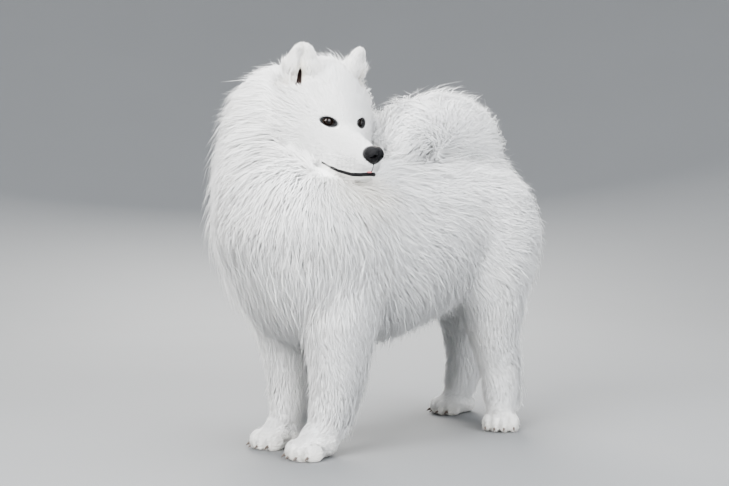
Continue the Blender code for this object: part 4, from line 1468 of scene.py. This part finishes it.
def clumped(paths, clump, together, draw):
    """Draws the tips of neighbouring tufts together into locks."""
    count = len(paths)
    kept = []
    cells = set()
    for at in draw.permutation(count):
        cell = tuple((paths[at, 0] / clump).astype(int))
        if cell not in cells:
            cells.add(cell)
            kept.append(at)
    tree = tree_of(paths[kept, 0])
    guide = np.array([kept[tree.find(place)[1]] for place in paths[:, 0]])
    pull = together * bpy.context.scene.dog_coat.clumping * draw.uniform(0.5, 1.3, count)
    shares = np.linspace(0, 1, paths.shape[1]) ** 1.4
    held = column(pull)[:, :, None] * shares[None, :, None]
    return paths * (1 - held) + paths[guide] * held


def soften(mesh, per, faces_along, share):
    """Turns the shading of tufts towards the skin that they stand on."""
    own = read(mesh.vertex_normals, "vector", 3)
    steps = np.linspace(0, faces_along.shape[1] - 1, per).astype(int)
    below = faces_along[:, steps].reshape(-1, 3)
    mesh.normals_split_custom_set_from_vertices(unit(own * (1 - share) + below * share))


def tuft_faces(rings):
    """The triangles of one tuft: its root, the bands between its rings, and its tip."""
    last = 3 * rings - 3
    if rings == 1:
        last += 1
        faces = [(0, 1 + (side + 1) % 3, 1 + side) for side in range(3)]
    else:
        faces = [(2, 1, 0)]
    for ring in range(rings - 1):
        for side in range(3):
            a, b = 3 * ring + side, 3 * ring + (side + 1) % 3
            faces += [(a, b, b + 3), (a, b + 3, a + 3)]
    faces += [(last + side, last + (side + 1) % 3, last + 3) for side in range(3)]
    return np.array(faces)


def tuft_mesh(name, paths, faces_along, halves, rings, patches):
    """Closed three-sided tufts along paths, tapering to their tips, each on a small patch of the unwrap.

    A tuft of one ring is pointed at its root as well.
    """
    count, points, _ = paths.shape
    pointed = 1 if rings == 1 else 0
    ring_corners = [paths[:, 0]] * pointed
    for share, wide in TUFT_FORMS[rings]:
        place = share * (points - 1)
        low = int(place)
        blend = place - low
        middle = paths[:, low] * (1 - blend) + paths[:, low + 1] * blend
        along = unit(paths[:, low + 1] - paths[:, low])
        across = unit(np.cross(along, faces_along[:, low]))
        rise = unit(np.cross(across, along))
        half = column(halves * wide)
        ring_corners += [middle - across * half, middle + rise * half * 0.75, middle + across * half]
    corners = np.stack(ring_corners + [paths[:, -1]], axis=1)
    per = corners.shape[1]
    faces = tuft_faces(rings)
    triangles = (faces[None] + per * np.arange(count)[:, None, None]).reshape(-1, 3)
    mesh = bpy.data.meshes.new(name)
    mesh.vertices.add(count * per)
    mesh.vertices.foreach_set("co", corners.astype(np.float32).ravel())
    mesh.loops.add(triangles.size)
    mesh.loops.foreach_set("vertex_index", triangles.astype(np.int32).ravel())
    mesh.polygons.add(len(triangles))
    mesh.polygons.foreach_set("loop_start", np.arange(0, triangles.size, 3, dtype=np.int32))
    mesh.update(calc_edges=True)
    rows = np.repeat(np.linspace(-0.5, 0.5, rings + 1 + pointed), [1] * pointed + [3] * rings + [1])
    columns = np.array([0] * pointed + [-0.5, 0, 0.5] * rings + [0])
    offsets = np.stack([columns, rows], axis=1) * PATCH
    unwrap = (patches[:, None] + offsets[None])[:, faces.ravel()]
    layer = mesh.uv_layers.new(name="OFBake")
    layer.uv.foreach_set("vector", unwrap.astype(np.float32).ravel())
    return mesh, per


def grow(region, name):
    """The tufts of one region, as one object or more."""
    spacing, half, clump, together, rings, softness = GROWTHS[region]
    pelt = PELT["pelt"]
    draw = np.random.default_rng([bpy.context.scene.dog_coat.seed, REGIONS.index(region)])
    at, shares = tuft_roots(pelt, region, spacing, draw)
    roots = np.einsum("nk,nkc->nc", shares, pelt.places[pelt.triangles[at]])
    patches = np.einsum("nk,nkc->nc", shares, pelt.unwrap[pelt.loops[at]])
    nearest = pelt.triangles[at, np.argmax(shares, axis=1)]
    paths, faces_along, slim = tuft_paths(pelt, roots, nearest, draw)
    paths = clumped(paths, clump, together, draw)
    halves = half * draw.uniform(0.75, 1.3, len(roots)) * slim
    clear = ~np.any([open_places(paths[:, step]) for step in range(1, paths.shape[1])], axis=0)
    tufts = (part[clear] for part in (roots, patches, paths, faces_along, halves))
    roots, patches, paths, faces_along, halves = tufts
    pieces = math.ceil(len(roots) * len(tuft_faces(rings)) / MOST_TRIANGLES)
    for number, group in enumerate(np.array_split(np.argsort(roots[:, 0]), pieces)):
        label = f"{name}_{number + 1}" if pieces > 1 else name
        mesh, per = tuft_mesh(label, paths[group], faces_along[group], halves[group], rings, patches[group])
        soften(mesh, per, faces_along[group], softness)
        mark(mesh, np.repeat(roots[group], per, axis=0))
        yield placed(label, mesh)


class DOG_OT_skin(bpy.types.Operator):
    """One skin for the body, head, ears and paws."""

    bl_idname = "dog.skin"
    bl_label = "Skin"

    def execute(self, context):
        skin = object_of("skin", lambda bm: body_tubes(bm, context.scene.dog_coat.undercoat))
        fused(skin, BODY_VOXEL, 8)
        parts = [head_skin()]
        for side in SIDES:
            parts.append(paw_skin(foreleg_stations(side), FORE_PAWS[side]))
            parts.append(paw_skin(hindleg_stations(side), HIND_PAWS[side]))
        combined(skin, parts, "UNION")
        under = object_of("under", lambda bm: bmesh.ops.create_cube(
            bm, size=2, matrix=Matrix.Translation((0, 0, -1 + 0.0004))))
        combined(skin, [under], "DIFFERENCE")
        ease_nape(skin, NAPE_EASE)
        unwrap_skin(skin)
        PELT["pelt"] = Pelt(skin)
        mark(skin.data, PELT["pelt"].places)
        PELT["face"] = surface_of(skin, head_place().inverted())
        flesh = [name for name in frame["nodes"] if not name.startswith(("eye", "nose", "claw"))]
        finish_piece(skin, skin_finish(), "skin", "coat", *flesh)
        return {"FINISHED"}


class DOG_OT_eyes(bpy.types.Operator):
    """Two wet dark eyes, and the dark rims of their lids."""

    bl_idname = "dog.eyes"
    bl_label = "Eyes"

    def execute(self, context):
        finish = eye_finish()
        for side, out in SIDES.items():
            finish_piece(eyes_of(out), finish, f"eyeball_{side}", "eye", f"eye_{side}")
        leather = leather_finish("lid_leather", 1400, 0.50, 0.04)
        finish_piece(lid_rims(PELT["face"]), leather, "lid_rims", "nose")
        return {"FINISHED"}


class DOG_OT_muzzle(bpy.types.Operator):
    """The nose, the lips and the whiskers."""

    bl_idname = "dog.muzzle"
    bl_label = "Nose, lips and whiskers"

    def execute(self, context):
        finish_piece(nose_leather(), leather_finish("nose_leather", 900, 0.26), "nose_pad", "nose", "nose")
        finish_piece(lips(PELT["face"]), leather_finish("lip_leather", 1200, 0.32), "lips", "nose")
        spot, radii = (-0.0035, -0.0980, -0.0795), (0.0058, 0.0032, 0.0020)
        pink = head_piece("lip_pink", lambda bm: ball(bm, spot, radii))
        flesh = Finish("pink_flesh", Roughness=0.35)
        flesh.set("Base Color", flesh.mix(flesh.noise(300), (0.55, 0.20, 0.20), (0.42, 0.13, 0.14)))
        finish_piece(pink, flesh.material, "lip_pink", "nose")
        hair = Finish("whisker_hair", Roughness=0.4)
        hair.set("Base Color", hair.mix(hair.noise(60), (0.86, 0.86, 0.84), (0.93, 0.93, 0.92)))
        finish_piece(head_piece("whiskers", whisker_shapes), hair.material, "whiskers", "coat")
        return {"FINISHED"}


class DOG_OT_claws(bpy.types.Operator):
    """Sixteen claws."""

    bl_idname = "dog.claws"
    bl_label = "Claws"

    def execute(self, context):
        nodes = [name for name in frame["nodes"] if name.startswith("claw")]
        finish_piece(object_of("claws", claw_shapes), claw_finish(), "claws", "claw", *nodes)
        return {"FINISHED"}


class DOG_OT_coat(bpy.types.Operator):
    """The tufts of one region of the coat."""

    bl_idname = "dog.coat"
    bl_label = "Coat"

    region: bpy.props.StringProperty(
        name="Region", description="Region whose tufts are grown", default="face")

    def execute(self, context):
        if self.region not in GROWTHS:
            raise RuntimeError(f"no region {self.region}")
        finish = bpy.data.materials.get("coat_hair") or coat_finish()
        for made in grow(self.region, f"coat_{self.region}"):
            finish_piece(made, finish, made.name, "coat")
        return {"FINISHED"}


def cove(bm):
    """A round floor that sweeps up into a wall on all sides."""
    flat, sweep, height, sides = 2.6, 3.6, 9.0, 128
    profile = [(flat + sweep * math.sin(turn), sweep - sweep * math.cos(turn))
               for turn in (math.pi / 2 * step / 24 for step in range(25))]
    rings = []
    for radius, z in [*profile, (flat + sweep, height)]:
        places = ((radius * math.cos(turn), radius * math.sin(turn), z) for turn in turns(sides))
        rings.append([bm.verts.new(place) for place in places])
    for first, second in zip(rings, rings[1:]):
        join_rings(bm, second, first)
    bm.faces.new(rings[0])


# Where the lights point
LIT = Vector((0, 0, 0.4))

# Each light's place, size, power and colour
LIGHTS = {
    "key": ((0.8, -3.4, 2.2), 2.6, 320, (1.0, 0.99, 0.97)),
    "fill": ((3.6, -0.4, 1.6), 2.8, 200, (0.96, 0.98, 1.0)),
    "top": ((0.2, 0.2, 3.4), 3.0, 90, (1.0, 1.0, 1.0)),
    "rim": ((-2.6, 2.0, 2.2), 2.0, 210, (1.0, 0.97, 0.92)),
    "catch": ((2.0, -2.2, 1.4), 0.16, 4, (1.0, 1.0, 1.0)),
}


class DOG_OT_stage(bpy.types.Operator):
    """Floor, light and camera."""

    bl_idname = "dog.stage"
    bl_label = "Stage"

    def execute(self, context):
        studio = context.scene.dog_studio
        floor = object_of("floor", cove)
        floor.data.shade_smooth()
        finish = Finish("floor", Roughness=0.85, Specular_IOR_Level=0.2)
        darker = [part * 0.96 for part in studio.floor]
        finish.set("Base Color", finish.mix(finish.noise(2.0), studio.floor, darker))
        floor.data.materials.append(finish.material)
        floor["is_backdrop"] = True
        world = bpy.data.worlds.new("studio")
        world.use_nodes = True
        sky = world.node_tree.nodes["Background"].inputs
        sky["Color"].default_value = (0.93, 0.96, 1.0, 1)
        sky["Strength"].default_value = 2.4
        context.scene.world = world
        context.scene.view_settings.view_transform = "AgX"
        context.scene.view_settings.look = "AgX - Medium High Contrast"
        for name, (place, size, power, colour) in LIGHTS.items():
            light = bpy.data.lights.new(name, "AREA")
            light.size = size
            light.energy = power
            light.color = colour
            made = placed(name, light)
            made.location = place
            made.rotation_euler = (LIT - made.location).to_track_quat("-Z", "Y").to_euler()
        lens = bpy.data.cameras.new("camera")
        lens.lens = studio.lens
        lens.sensor_width = 36
        lens.clip_end = 100
        camera = placed("camera", lens)
        camera.location = Vector(studio.place) + SHIFT
        level = math.cos(studio.tilt)
        across, along = -math.sin(studio.turn) * level, math.cos(studio.turn) * level
        look = Vector((across, along, -math.sin(studio.tilt)))
        camera.rotation_euler = look.to_track_quat("-Z", "Y").to_euler()
        context.scene.camera = camera
        return {"FINISHED"}


class DOG_PT_panel(bpy.types.Panel):
    """Lists the pieces of the dog."""

    bl_idname = "DOG_PT_panel"
    bl_label = "Samoyed"
    bl_space_type = "VIEW_3D"
    bl_region_type = "UI"
    bl_category = "Samoyed"

    def draw(self, context):
        for operator in OPERATORS:
            self.layout.operator(operator.bl_idname)
        for group in GROUPS:
            settings = getattr(context.scene, group)
            for name in settings.__annotations__:
                self.layout.prop(settings, name)


GROUPS = {"dog_coat": DogCoat, "dog_colours": DogColours, "dog_studio": DogStudio}
OPERATORS = (DOG_OT_skin, DOG_OT_eyes, DOG_OT_muzzle, DOG_OT_claws, DOG_OT_coat, DOG_OT_stage)
CLASSES = (*GROUPS.values(), *OPERATORS, DOG_PT_panel)


def register():
    """Registers the classes and the groups of settings."""
    for made in CLASSES:
        bpy.utils.register_class(made)
    for name, group in GROUPS.items():
        setattr(bpy.types.Scene, name, bpy.props.PointerProperty(type=group))


def unregister():
    """Takes the classes and the groups of settings away."""
    for name in GROUPS:
        delattr(bpy.types.Scene, name)
    for made in reversed(CLASSES):
        bpy.utils.unregister_class(made)


def main():
    """Builds every piece and the stage."""
    register()
    bpy.ops.dog.stage()
    bpy.ops.dog.skin()
    bpy.ops.dog.eyes()
    bpy.ops.dog.muzzle()
    bpy.ops.dog.claws()
    for region in REGIONS:
        bpy.ops.dog.coat(region=region)
    boxes = {"frame": solid_box, "visual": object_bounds()}
    sizes = {name: [list(corner) for corner in box] for name, box in boxes.items()}


if __name__ == "__main__":
    main()
